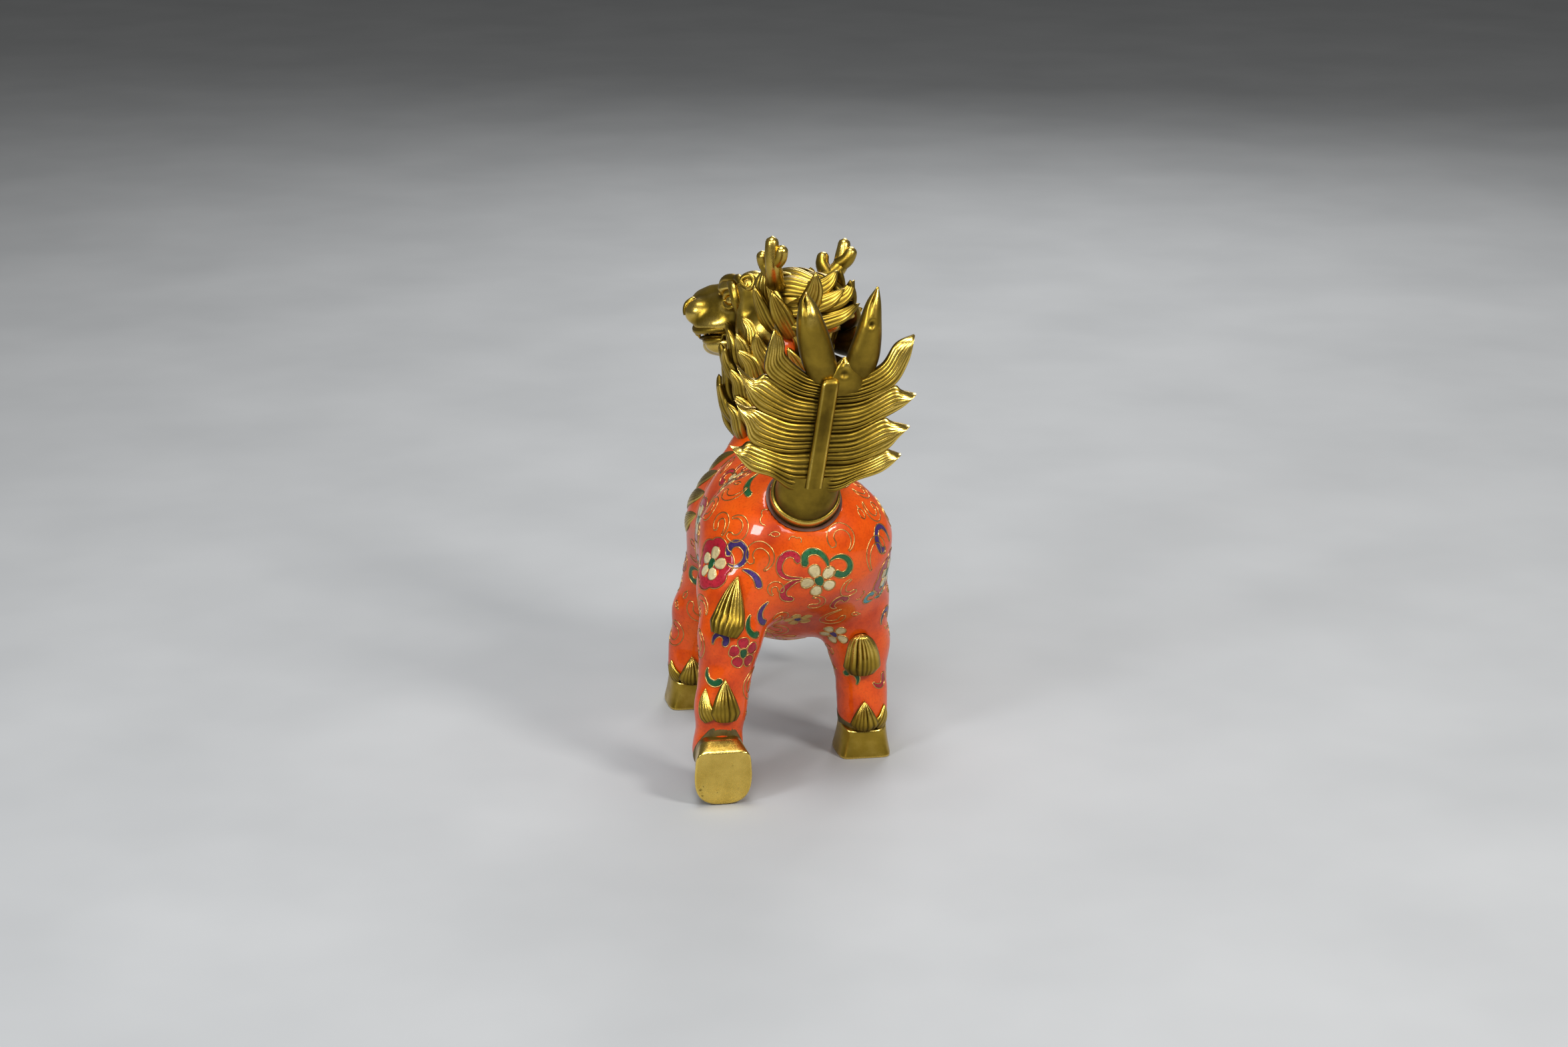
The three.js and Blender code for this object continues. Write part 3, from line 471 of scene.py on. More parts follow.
LEGS = [
    leg("front_left", [
        (17, 40, 84, 18.5), (23.5, 46, 62, KNEE + 1.6), (30, 50, 42, KNEE), (32.6, 51, 26, SHANK),
    ]),
    leg("front_right", [
        (-17, 40, 84, 18.5), (-25, 57, 70, KNEE + 2.5), (-31, 79, 63, KNEE), (-31, 78, 52, SHANK),
    ]),
    leg("hind_left", [
        (15, -27, 92, 25), (24, -38, 80, 17), (29.5, -48, 64, HOCK), (34.5, -54, 36, SHANK + 0.4),
    ]),
    leg("hind_right", [
        (-15, -27, 92, 25), (-24, -19, 68, 16), (-28.5, -18, 48, HOCK), (-30, -18.5, 26, SHANK + 0.4),
    ]),
]
TORSO = blended([
    ball(place(0, 3, BARREL["height"]), BARREL["half_width"], BARREL["half_length"], BARREL["half_height"]),
    ball(place(0, -26, BARREL["height"] + 9), BARREL["half_width"], 33, BARREL["half_height"] - 9),
    ball(place(0, 35, BARREL["height"] - 4), BARREL["half_width"] - 4, 31, BARREL["half_height"] - 2),
], 6)
NECK = chain([
    (place(0, 41, 100), 22),
    (place(*NECK_FOOT), NECK_RADIUS),
    (place(*NECK_TOP), NECK_RADIUS),
], 8)
SKIN = blended([TORSO, NECK] + LEGS, 9)

# The tail's round seat in the rump
SEAT_MIDDLE = place(-1, -47.4, 121.2)
SEAT_TILT = math.radians(48)
SEAT_AXIS = np.array([0, math.sin(SEAT_TILT), math.cos(SEAT_TILT)])
LEVEL = np.array([1.0, 0, 0])
UPHILL = np.cross(SEAT_AXIS, LEVEL)
COLLAR_RADIUS = 14.0
HOLE_RADIUS = COLLAR_RADIUS + 1.0
HOLE_DEPTH = 4.0
# The rim's section round the hole: inward from near its edge, and up along the seat's axis
RIM_SECTION = [(-0.5, 0.14), (0.35, 0.3), (0.9, 0.12), (0.9, -0.9), (-0.5, -4.0)]


def seat_drill(p):
    away = p - SEAT_MIDDLE
    along = away @ SEAT_AXIS
    radial = np.linalg.norm(away - along[..., None] * SEAT_AXIS, axis=-1)
    return np.maximum(radial - HOLE_RADIUS, -HOLE_DEPTH - along)


BODY = cut(SKIN, seat_drill, 1.0)
SKIN_CELL = 1.3


def make_body(material):
    """The enamelled shell. Its vertices are where drawings may go."""
    verts, faces = surface_of(BODY, np.array([-47.0, -92, 3]), np.array([50.0, 80, 180]), SKIN_CELL)
    make_piece("enamel_body", [(verts, faces)], material, "enamel", ["body"])
    return verts


def make_seat_rim(material):
    """The dark rim round the tail's seat: painted shade in the gap round the collar."""
    around = all_round(full_circle(96), LEVEL, UPHILL)
    spots = SEAT_MIDDLE + (HOLE_RADIUS - 0.1) * around
    for _ in range(12):
        spots = spots - SKIN(spots)[:, None] * SEAT_AXIS
    rings = []
    for spot, out in zip(spots, around):
        rings.append([spot - inward * out + up * SEAT_AXIS for inward, up in RIM_SECTION])
    count = len(RIM_SECTION)
    faces = []
    for n in range(len(rings)):
        m = (n + 1) % len(rings)
        for k in range(count):
            j = (k + 1) % count
            faces.append([n * count + k, n * count + j, m * count + j, m * count + k])
    make_piece("tail_seat_rim", [(np.array(rings).reshape(-1, 3), faces)], material, sharp=50)


# Hooves, as rings with their level from the sole, 0, to the top, 1, and how far each is drawn in
PLAIN_SOLE = [(0.0, 3.4)]
FINE_SOLE = [(0.0, inset) for inset in np.linspace(9.6, 1.6, 17)]
HOOF_RINGS = [
    (0.0, 1.1), (0.012, 0.45), (0.04, 0.08), (0.09, 0),
    *[(level, 0) for level in np.linspace(0.14, 0.94, 15)],
    (0.975, 0.12), (1.0, 0.5), (1.01, 1.3), (0.99, 2.6),
]
RUBBED_EDGES = (0.012, 0.04, 0.975)
# The facet above the sole that shows: how far the heel is cut back, and up to which level, which is also as
# high as that hoof's painted highlight reaches
HEEL_SLANT = 3.2
SLANT_TOP = 0.6
# Casting pits in that sole: across, towards the heel, radius and depth
SOLE_PITS = [
    (9.2, -2.0, 0.9, 1.0), (8.4, -3.8, 0.8, 0.9), (9.3, -5.4, 0.8, 0.9), (7.6, -0.6, 0.6, 0.6),
    (8.6, -8.0, 0.7, 0.7), (-3.5, 5.0, 0.6, 0.4), (2.5, -7.0, 0.7, 0.5), (-6.0, -5.5, 0.6, 0.4),
]
BAND_HEIGHT = 2.3
LOW_BAND_HEIGHT = 0.7


def sole_height(x, y):
    """The uneven, pitted sole."""
    height = 0.1 * np.sin(0.5 * x + 1) * np.sin(0.42 * y)
    for across, heelward, radius, depth in SOLE_PITS:
        height = height + depth * np.exp(-((x - across) ** 2 + (y - heelward) ** 2) / radius ** 2)
    return height


def make_hoof(name, material):
    shows_sole = name == SHOWN_SOLE
    rings = []
    wear_and_highlight = []
    for level, inset in (FINE_SOLE if shows_sole else PLAIN_SOLE) + HOOF_RINGS:
        x, y = hoof_outline(min(level, 1))
        radius = np.hypot(x, y)
        x = x * (1 - inset / radius)
        y = y * (1 - inset / radius)
        z = level * top_height(y)
        if shows_sole:
            heelward = np.clip(2 * y / SOLE_LENGTH, 0, 1) ** 2
            y = y - HEEL_SLANT * max(1 - level / SLANT_TOP, 0) * heelward
            z = z + sole_height(x, y) * (level == 0)
        rings.append(FEET[name](np.stack([x, y, z], 1)))
        # Rubbed edges are bright from wear; on the hoof whose sole shows, the sole and the walls below the
        # slant's top are 0.2 brighter as a painted highlight.
        wear_and_highlight_level = 0.95 if level in RUBBED_EDGES else 0.6 + 0.2 * (level < SLANT_TOP) * shows_sole
        wear_and_highlight.append(np.full(len(x), wear_and_highlight_level))
    hoof = swept(rings, wear_and_highlight, [0.85, 0.3])
    make_piece(f"gilt_hoof_{name}", [hoof], material, replaced=[f"hoof_{name}"])


def make_hoof_band(name, material):
    """The dark olive band between a hoof's rim and the enamel, dark partly with patina and partly as
    painted shade.
    """
    pose = FEET[name]
    around = all_round(full_circle(72), LEVEL, np.cross(TOP_NORMAL, LEVEL))
    tall = LOW_BAND_HEIGHT if name == SHOWN_SOLE else BAND_HEIGHT
    section = [(-1.5, -0.5), (-1.5, 0.1), (0, 0.2), (tall, 0.2), (tall + 0.3, 0.05), (tall + 0.3, -0.6)]
    rings = []
    for height, lift in section:
        start = pose(TOP_MIDDLE + height * TOP_NORMAL + (SHANK + 0.6) * around)
        outward = unit(start - pose(TOP_MIDDLE + height * TOP_NORMAL))
        for _ in range(6):
            start = start - 0.9 * SKIN(start)[:, None] * outward
        rings.append(start + lift * outward)
    make_piece(f"gilt_band_{name}", [rings_skin(rings)], material)


# Tail plume, in its own plane: out to the right as seen from behind, up, and towards the back
PLUME_FOOT = SEAT_MIDDLE + 6 * SEAT_AXIS + np.array([-1, 5.3, 1])
SPINE_HEIGHT = 45.0
SPINE_LEAN = math.tan(math.radians(9))
SPINE_WIDTH = 7.0


def on_plume(out, up, back=0.0):
    out, up, back = np.broadcast_arrays(out, up, back)
    return PLUME_FOOT + np.stack([-out, back, up], -1)


# Lobes of strands: the heights at which they leave the spine, the notches between them, and for each
# its tip and where its outer and inner edges bend on the way there
RIGHT_ROOTS = [-0.8, 10.1, 22.6, 34.6, 45.5]
LEFT_ROOTS = [-0.3, 15.5, 27.0, 36.8, 45.0]
RIGHT_NOTCHES = [(17.4, 3.6), (28.4, 15.6), (27.5, 28.7), (31.8, 41.6), (27.5, 50.3)]
LEFT_NOTCHES = [(-16.5, 6.6), (-24.3, 21.2), (-22.1, 34.7), (-17.9, 47.9), (-10.4, 55.5)]
RIGHT_LOBES = [
    {"tip": (34.6, 14.2), "belly": (27.5, 7.4), "hollow": (31.8, 14.9)},
    {"tip": (38.0, 25.6), "belly": (34.5, 21.3), "hollow": (32.0, 26.9)},
    {"tip": (40.5, 38.5), "belly": (35.6, 33.2), "hollow": (36.0, 39.3)},
    {"tip": (39.6, 62.4), "belly": (37.6, 51.0), "hollow": (33.0, 58.3)},
]
LEFT_LOBES = [
    {"tip": (-31.1, 17.7), "belly": (-25.6, 10.6), "hollow": (-28.4, 19.0)},
    {"tip": (-29.3, 36.0), "belly": (-26.9, 29.0), "hollow": (-25.9, 35.0)},
    {"tip": (-28.9, 51.0), "belly": (-26.4, 42.6), "hollow": (-23.4, 46.3)},
    {"tip": (-13.3, 66.2), "belly": (-18.8, 55.5), "hollow": (-11.2, 61.0)},
]


# The smooth flames on top: left outline, right outline, dent (out, up, depth, radius) and thickness
FLAMES = [
    ([(1.5, 41), (-3.2, 49.5), (-5.6, 58), (-6.2, 67), (-5.2, 75), (-2.7, 80.0)],
     [(8.5, 41), (10.0, 49), (8.4, 57), (6.3, 64), (2.2, 74), (-2.3, 80.1)],
     (-3.4, 76.5, 1.0, 1.3), 4.6),
    ([(12.5, 42), (13.2, 52), (16.2, 61), (18.6, 68), (21.5, 75.5), (25.6, 81.2)],
     [(23, 43), (26.4, 52), (27.4, 60), (27.4, 68), (27.2, 75), (26.4, 81.0)],
     (22.9, 67.2, 1.9, 0.95), 4.6),
    ([(5, 36), (6, 43), (8.6, 49.5), (12.4, 53.4)],
     [(21, 36), (20.5, 44), (17.6, 50), (13.4, 53.5)],
     (12.5, 47.5, 1.2, 1.6), 2.6),
]


def lobe_edge(side, root, notch, bend, tip, count):
    """One edge of a lobe, from the spine along its notch to its pointed tip."""
    out, up = root * SPINE_LEAN + side * (SPINE_WIDTH / 2 - 1.8), root
    middle = (mix(out, notch[0], 0.5), mix(up, notch[1], 0.5) - 2.3)
    reach, rise = (1.5, 1.8) if side < 0 else (1.0, -0.9)
    return curve([(out, up), middle, notch, bend, (tip[0] + side * reach, tip[1] + rise)], count)


def lobe(side, root_low, root_high, notch_low, notch_high, shape, order):
    """A lobe of strands from the spine to its pointed tip, closed behind."""
    stations = 34
    strands = 7
    low = lobe_edge(side, root_low, notch_low, shape["belly"], shape["tip"], stations + 1)
    high = lobe_edge(side, root_high, notch_high, shape["hollow"], shape["tip"], stations + 1)
    share = np.linspace(0, 1, 8 * strands + 1)
    uneven = np.clip(share + 0.012 * np.sin(9 * share * math.pi + order * 2), 0, 1)
    ridge = np.abs(np.sin(math.pi * strands * uneven)) ** 0.6
    crown = 1 - 0.55 * np.abs(2 * share - 1) ** 2.4
    back = np.linspace(1, 0, 2 * strands + 1)
    back_ridge = np.abs(np.sin(math.pi * strands * back)) ** 0.42
    rings = []
    wear_and_highlight = []
    for n in range(stations + 1):
        along = n / stations
        lift = 2.6 * math.sin(math.pi * along ** 1.7) + 1.2 * along ** 4 - 0.22 * order
        thick = 2.3 * (1 - 0.45 * along) * min(1, 12 * (1 - along) + 0.05)
        groove = 0.8 * min(1, max(1.75 * (0.86 - along), 0.03))
        face = low[n] + share[:, None] * (high[n] - low[n])
        rear = low[n] + back[:, None] * (high[n] - low[n])
        tilt = 2.6 * along ** 0.8
        height = lift + thick * (0.1 + crown) - groove * (1 - ridge) + tilt * (0.5 - share)
        depth = lift - thick * 0.75 + groove * 0.7 * (1 - back_ridge) + tilt * (0.5 - back)
        rings.append(np.vstack([
            on_plume(face[:, 0], face[:, 1], height),
            on_plume(rear[:, 0], rear[:, 1], depth),
        ]))
        crest = np.concatenate([0.06 + 0.6 * ridge, 0.06 + 0.5 * back_ridge])
        wear_and_highlight.append(crest * mix(0.5, 1.2, along) + 0.36 * along ** 2)
    return swept(rings, wear_and_highlight, [0.3, 1.0])


def plume_flame(outline_left, outline_right, dent, thickest):
    """One of the smooth flames on top of the plume, between its two outlines."""
    stations = 40
    left = curve(outline_left, stations + 1)
    right = curve(outline_right, stations + 1)
    angle = np.linspace(0, math.pi, 25)
    across = 0.5 - 0.5 * np.cos(angle)
    crown = np.sin(angle)
    rings = []
    wear_and_highlight = []
    for n in range(stations + 1):
        along = n / stations
        face = left[n] + across[:, None] * (right[n] - left[n])
        width = np.linalg.norm(right[n] - left[n])
        thick = min(width * 0.5, thickest) * min(1, 0.12 + along / 0.3)
        crease = 0.9 * np.exp(-((across - 0.3) / 0.07) ** 2) * np.exp(-((along - 0.86) / 0.13) ** 2)
        pit = dent[2] * np.exp(-(((face - np.array(dent[:2])) ** 2).sum(1)) / dent[3] ** 2)
        rise = 0.8 * math.sin(math.pi * along)
        height = thick * crown - crease - pit + rise
        rear = -0.75 * thick * crown[1:-1][::-1] + rise
        rear_line = face[1:-1][::-1]
        rings.append(np.vstack([
            on_plume(face[:, 0], face[:, 1], height),
            on_plume(rear_line[:, 0], rear_line[:, 1], rear),
        ]))
        # Brighter on the crown from rubbing, and much brighter towards the tip as a painted highlight;
        # darker in the crease and the dent as patina.
        rub_and_highlight = 0.16 + 0.22 * crown + 0.55 * along ** 2 - 0.5 * crease - 0.4 * pit
        wear_and_highlight.append(np.concatenate([rub_and_highlight, np.full(len(rear), 0.4)]))
    return swept(rings, wear_and_highlight, [0.4, 0.9])


def spine():
    """The plain bar up the middle of the plume, with rounded edges and a rounded end."""
    half = SPINE_WIDTH / 2
    heights = [(up, 1.0) for up in np.linspace(1.5, SPINE_HEIGHT - 1.5, 14)]
    heights += [(SPINE_HEIGHT - 0.2, 0.88), (SPINE_HEIGHT + 0.7, 0.6)]
    rings = []
    wear_and_highlight = []
    for up, grow in heights:
        top = 4.5 if grow == 1 else mix(3.2, 4.5, (grow - 0.6) / 0.4)
        right = [(0.55, top), (0.72, top - 0.12), (0.93, top - 0.7), (1, top - 1.3), (1, -2.0)]
        left = [(-x, z) for x, z in right[::-1]]
        section = left + [(0, top + 0.06)] + right
        rings.append(np.array([on_plume(up * SPINE_LEAN + x * half * grow, up, z) for x, z in section]))
        wear_and_highlight.append([0.1, 0.2, 0.55, 0.7, 0.4, 0.34, 0.4, 0.7, 0.55, 0.2, 0.1])
    return swept(rings, wear_and_highlight, [0.3, 0.9])


# Profile of the drum in the seat: along the seat's axis, how much wider than the collar, and its wear
COLLAR_PROFILE = [
    (-3.7, -0.8, 0.2), (-3.0, 0, 0.3), (-0.6, 0, 0.4), (0.6, 0.0, 0.6), (2.0, -0.1, 0.75),
    (2.5, -0.35, 0.8), (2.7, -0.9, 0.6), (2.9, -1.3, 0.1), (3.6, -1.5, 0.2), (4.2, -1.5, 0.26),
]


def collar():
    """The drum that stands in the seat, with a raised band round its foot, drawn up to the plume's root."""
    angle = full_circle(80)
    around = all_round(angle, LEVEL, UPHILL)
    uneven = 0.16 * np.sin(2 * angle + 1) + 0.1 * np.sin(5 * angle)
    rings = []
    wear_and_highlight = []
    for along, grow, wear_and_highlight_level in COLLAR_PROFILE:
        radius = COLLAR_RADIUS + grow
        rings.append(SEAT_MIDDLE + along * SEAT_AXIS + (radius + uneven)[:, None] * around)
        wear_and_highlight.append(np.full(len(angle), wear_and_highlight_level))
    last = rings[-1]
    root = on_plume(-12.6 * np.cos(angle), 5.5 + 0 * angle, -0.8 + 4.2 * np.sin(angle))
    for share in (0.25, 0.5, 0.75, 1.0):
        rings.append(mix(last, root, share))
        wear_and_highlight.append(np.full(len(angle), mix(0.34, 0.42, share)))
    return swept(rings, wear_and_highlight, [0.2, 0.4])


def make_plume(material):
    parts = [collar(), spine()]
    for side, roots, notches, lobes in ((1, RIGHT_ROOTS, RIGHT_NOTCHES, RIGHT_LOBES),
                                        (-1, LEFT_ROOTS, LEFT_NOTCHES, LEFT_LOBES)):
        for n, shape in enumerate(lobes):
            parts.append(lobe(side, roots[n], roots[n + 1], notches[n], notches[n + 1], shape, n))
    parts += [plume_flame(*shape) for shape in FLAMES]
    make_piece("gilt_tail_plume", parts, material, replaced=["tail_plume"], sharp=75)


# Head, in its own frame: along the snout, to its left, and up
SKULL = place(-10.5, 50, 174.5)


def head_axes(turn, nod, roll):
    turn, nod, roll = (math.radians(a) for a in (turn, nod, roll))
    along = place(math.sin(turn) * math.cos(nod), math.cos(turn) * math.cos(nod), -math.sin(nod))
    left = place(math.cos(turn), -math.sin(turn), 0)
    up = place(math.sin(turn) * math.sin(nod), math.cos(turn) * math.sin(nod), math.cos(nod))
    return np.array([
        along,
        math.cos(roll) * left + math.sin(roll) * up,
        math.cos(roll) * up - math.sin(roll) * left,
    ])


# Degrees by which the head is turned to its left
HEAD_TURN = 52
HEAD_AXES = head_axes(HEAD_TURN, 10, 11)
SNOUT = 44.0
# Grid cells of the head's and the mane's surfaces
HEAD_CELL = 0.7
MANE_CELL = 1.5


def from_head(p):
    return SKULL + np.asarray(p, float) @ HEAD_AXES


def mirrored(centre, x, y, z):
    return [ball((centre[0], side * centre[1], centre[2]), x, y, z) for side in (1, -1)]


def head_form():
    """Skull, muzzle, jaw, cheeks, brows and nose, with nostrils, eye sockets and mouth cut in."""
    form = blended([
        ball((-2, 0, -1), 19, 17, 14),
        limb((10, 0, 0), 12.6, (SNOUT - 10, 0, -0.5), 11.4),
        limb((6, 0, -11), 10.4, (SNOUT - 11, 0, -11.9), 6.4),
        *mirrored((8, 11, -9), 12, 8, 10),
    ], 4)
    details = blended([
        form,
        limb((24, 0, 10), 4, (SNOUT - 7, 0, 8.5), 4.5),
        ball((SNOUT - 3.5, 0, 4), 8.5, 7, 8),
        *mirrored((SNOUT - 3, 8, 1.5), 6, 5, 5.6),
        *mirrored((SNOUT - 11, 9, -4.6), 9, 4.6, 4.6),
        *mirrored((20, 9.5, 10.5), 9, 5, 4.6),
        *mirrored((12, 13, 12), 4.6, 4, 4),
        *mirrored((9, 12.5, 8), 8, 5, 9),
        *[limb((14.5, side * 13, -6), 4.0, (13.5, side * 12.8, 9), 4.4) for side in (1, -1)],
        *mirrored((SNOUT - 13, 6, -12.6), 8, 4.3, 4.3),
        ball((SNOUT - 6, 0, -12.8), 5.5, 5.5, 4.4),
    ], 2.4)
    hollows = blended([
        *mirrored((22.5, 13.8, 5.2), 6.2, 4.4, 4.6),
        *mirrored((SNOUT + 2.2, 6.6, 2.8), 3.2, 2.3, 2.4),
    ], 0.6)
    hollowed = cut(details, hollows, 1.2)

    def mouth(p):
        line = -8.9 - 0.012 * (p[..., 0] - 38) ** 2
        return np.maximum(np.abs(p[..., 2] - line) - 0.85, 26.5 - p[..., 0])
    return cut(hollowed, mouth, 0.8)


HEAD_FORM = head_form()


def hugging(points, count):
    """A line through the points, laid on the head's form."""
    return settle(HEAD_FORM, curve(points, count), 4)


def tongue():
    form = ball((35, 0, -9.6), 10, 8.5, 1.8)
    verts, faces = surface_of(form, np.array([24.0, -10, -13]), np.array([47.0, 10, -6]), 0.8)
    return verts, faces, np.full(len(verts), 0.25)


def add_eye(shell, side):
    """An eyeball with its two lids, and the fold of the cheek behind it."""
    eye_at = np.array([20.6, side * 11.6, 5.4])
    angle = full_circle(28)
    rings = [eye_at + 3.5 * np.stack([
        math.sin(a) * np.cos(angle),
        np.full(len(angle), math.cos(a)),
        math.sin(a) * np.sin(angle),
    ], 1) for a in np.linspace(0, math.pi, 15)[1:-1]]
    verts, faces = rings_skin(rings)
    shell.add(verts, faces, np.full(len(verts), 0.85))
    for lid in (1, -1):
        arch = [eye_at + (dx, side * dy, lid * dz)
                for dx, dy, dz in ((-4.6, 1.2, 0), (-2.2, 3.2, 2.6), (1.2, 3.2, 3.0), (4.4, 1.2, 0.3))]
        shell.add(*stem(arch, [0.7, 1.1, 1.1, 0.6], sides=10, stations=20))
    fold = [(17, side * 14, -1), (16.6, side * 16.2, 5), (18, side * 15.6, 10.5), (22, side * 13, 13)]
    shell.add(*stem(fold, [1.2, 2.4, 2.4, 1.2], sides=12, stations=28))


def add_features(shell, side):
    """Brow, its curl, the nostril's wing, lips and teeth."""
    brow = [(10, side * 15, 9.5), (15, side * 14.5, 13.5), (22, side * 11.5, 14.5), (29, side * 8, 11.5),
            (31, side * 9.5, 8.8)]
    shell.add(*stem(hugging(brow, 24), [0.9, 2.0, 2.2, 1.7, 0.8], sides=12, stations=30))
    curl = [(9.5 + 3.4 * (1 - t) * math.cos(t * 9), side * 15, 11 + 3.4 * (1 - t) * math.sin(t * 9))
            for t in np.linspace(0, 0.8, 14)]
    shell.add(*stem(hugging(curl, 30), [1.5, 1.3, 0.8], sides=10, stations=40))
    wing = [(SNOUT + 2.6 * math.cos(a), side * (8.6 + 1.8 * math.cos(a)), 2.6 + 3.6 * math.sin(a))
            for a in np.linspace(-0.6, 3.9, 9)]
    shell.add(*stem(hugging(wing, 22), [0.7, 1.5, 1.5, 0.8], sides=10, stations=28))
    upper_lip = [(26, side * 14, -8.6), (31, side * 13, -6.9), (38, side * 12, -6.7),
                 (44, side * 9.5, -7), (48.5, side * 4, -6.6), (49.4, 0, -6.4)]
    shell.add(*stem(hugging(upper_lip, 36), [0.8, 1.5, 1.6, 1.4], sides=10, stations=40))
    lower_lip = [(26, side * 13, -10.4), (33, side * 10, -11.2), (38, side * 7.5, -11.3), (41, 0, -11.2)]
    shell.add(*stem(hugging(lower_lip, 30), [0.8, 1.3, 1.2], sides=10, stations=34))
    for along, across, long in ((41.5, 7.6, 3.0), (37.5, 9.6, 2.0), (34.5, 10.4, 1.8), (44.6, 4.2, 2.0)):
        tooth = [(along, side * across, -6.8), (along - 0.2, side * across, -6.8 - long)]
        shell.add(*stem(tooth, [1.2, 0.45], sides=8, stations=6))


def antler(side):
    """The main beam with a short knob behind and a prong in front."""
    base = np.array([2, side * 8, 9.0])
    sunk = base + (2, -side * 2, -4)
    middle = base + (-6.5, side * 11.0, 2.4)
    elbow = base + (-11.2, side * 19.6, 8.0)
    tip = base + (-13.5, side * 22.9, 20.9)
    knob = tip + (-4.1, -side * 0.9, -4.2)
    prong = tip + (8.3, -side * 4.5, -5.5)
    beam = [sunk, base, middle, elbow, mix(elbow, tip, 0.5) + (0, side * 0.8, 0), tip]
    to_knob = [mix(elbow, tip, 0.1), mix(elbow, knob, 0.5) + (-1, 0, -0.5), knob]
    to_prong = [mix(middle, elbow, 0.45), mix(middle, prong, 0.55) + (0.5, side * 1.2, 0.5), prong]
    return [
        stem(beam, [5.4, 4.9, 4.1, 3.7, 3.2, 2.6], stations=34),
        stem(to_knob, [3.4, 3.0, 2.5], stations=20),
        stem(to_prong, [3.6, 3.0, 2.5], stations=20),
    ]


def leafy(along):
    """Width of a leaf-like lock from its root, 0, to its long point, 1."""
    return (0.72 + 0.75 * along) * max(1 - along ** 1.7, 0) ** 0.9


# Locks swept back from one side of the crown, their tips turned up
CROWN = [
    ([(-4, 10, 4), (-14, 9, 6), (-21, 5, 9), (-25, 1, 15)], 13),
    ([(-12, 9, 1), (-22, 6, 1), (-28, 2, 4), (-31, -2, 10.5)], 12),
    ([(-3, 14, 0), (-14, 13, 0), (-23, 8, 2), (-29, 2, 7)], 13),
    ([(8, 5, 11), (-4, 6, 12.5), (-14, 5, 9.5), (-22, 2, 8)], 15),
    ([(4, 11, 8), (-6, 11, 9), (-15, 8, 7), (-23, 4, 8)], 14),
    ([(-6, 3, 11), (-16, 2, 9.5), (-24, 0, 4.5), (-31, -3, 2)], 14),
    ([(-6, 14, -5), (-17, 12, -7), (-27, 6, -5), (-33, -2, 0.5)], 12),
    ([(-4, 15, -10), (-14, 14, -14), (-24, 9, -13.5), (-30, 3, -9)], 12),
    ([(-6, 14, -13), (-16, 14, -17), (-25, 9, -17.5), (-32, 3, -13)], 12),
    ([(-4, 13, -19), (-13, 13, -24), (-21, 9, -25), (-28, 4, -20)], 11),
]
# How many of them grow on the left too, where the nape shows under them
NAPE_LOCKS = len(CROWN) - 3


def head_hair(shell):
    """Ears, crown locks, forelock, chin and beard."""
    for side in (1, -1):
        ear = [(2, side * 14, 0), (1, side * 17.5, 7), (0, side * 18.5, 13), (-1, side * 18, 18)]
        shell.add(*lock(ear, unit([-0.35, side, 0.15]), 10.5, 7, flutes=5, groove=0.26,
                        swell=lambda t: (0.8 + 0.3 * math.sin(math.pi * t)) * (1 - t ** 5)))
        for path, width in CROWN if side < 0 else CROWN[:NAPE_LOCKS]:
            moved = [(along, side * left, up) for along, left, up in path]
            shell.add(*lock(moved, unit([-0.45, side * 0.75, 0.6]), width, 6.5, flutes=6,
                            swell=leafy, groove=0.22, rubbed=0.78))
        forelock = [(16, side * 4, 10), (9, side * 5, 14), (1, side * 6, 14.8), (-7, side * 8, 14)]
        shell.add(*lock(forelock, unit([0.2, 0, 1]), 9, 4, flutes=6, groove=0.22, swell=leafy))
        chin = [(20, side * 7, -17), (16, side * 8, -23), (9, side * 9, -29)]
        shell.add(*lock(chin, unit([1, side * 0.4, -0.3]), 9, 5, flutes=4))
    for left in (-4.5, 4.5, 0):
        beard = [(25, left, -15), (22.5, left * 1.2, -21), (15, left * 1.5, -27.5 - (left == 0) * 2)]
        shell.add(*lock(beard, unit([1, left * 0.05, -0.4]), 8, 5.5, flutes=4))


def neck_middle(height):
    share = (height - NECK_FOOT[2]) / (NECK_TOP[2] - NECK_FOOT[2])
    return place(mix(NECK_FOOT[0], NECK_TOP[0], share), 46.7, height)


def mane_form():
    """What the mane's locks grow from: round the neck and the swept-back hair, open at the nape."""
    radius = NECK_RADIUS + 1.7
    sleeve = [
        limb(place(NECK_TOP[0], 47.4, 154), radius, place(NECK_FOOT[0], 46.6, 121), radius),
        limb(place(NECK_TOP[0] + 7, 48, 150), radius, place(NECK_FOOT[0] + 5, 47, 132), radius - 3),
        ball(SKULL + place(3, 2, -14), radius - 2, radius - 2, radius - 3),
    ]
    crown = [ball((-9, 0, 0), 15, 15, 10), ball((-4, 0, -6), 13.5, 17, 14)]

    def hair(p):
        local = (p - SKULL) @ HEAD_AXES.T
        return np.minimum(crown[0](local), crown[1](local))
    nape = place(-8.5, 22, 154)

    def slot(p):
        away = np.abs(p - nape)
        return np.maximum(np.maximum(away[..., 0] - 6, away[..., 1] - 17), away[..., 2] - 16)
    return cut(blended(sleeve + [hair], 4), slot, 1.0)


MANE_FORM = mane_form()
MANE_ROWS = [(121, 10), (129, 10), (138, 11), (147, 11), (156, 12), (164, 13), (172, 13), (180, 12)]


def flow(spot):
    """Which way the mane lies at a place: towards the face low down, swept back and out on the crown."""
    towards_face = np.array([0.45, 0, 1.0])
    back = place(-0.95, -0.3, 0.35)
    share = np.clip((-10 - spot[0]) / 8, 0, 1) * np.clip((spot[2] - 158) / 8, 0, 1)
    return mix(towards_face, back, share)


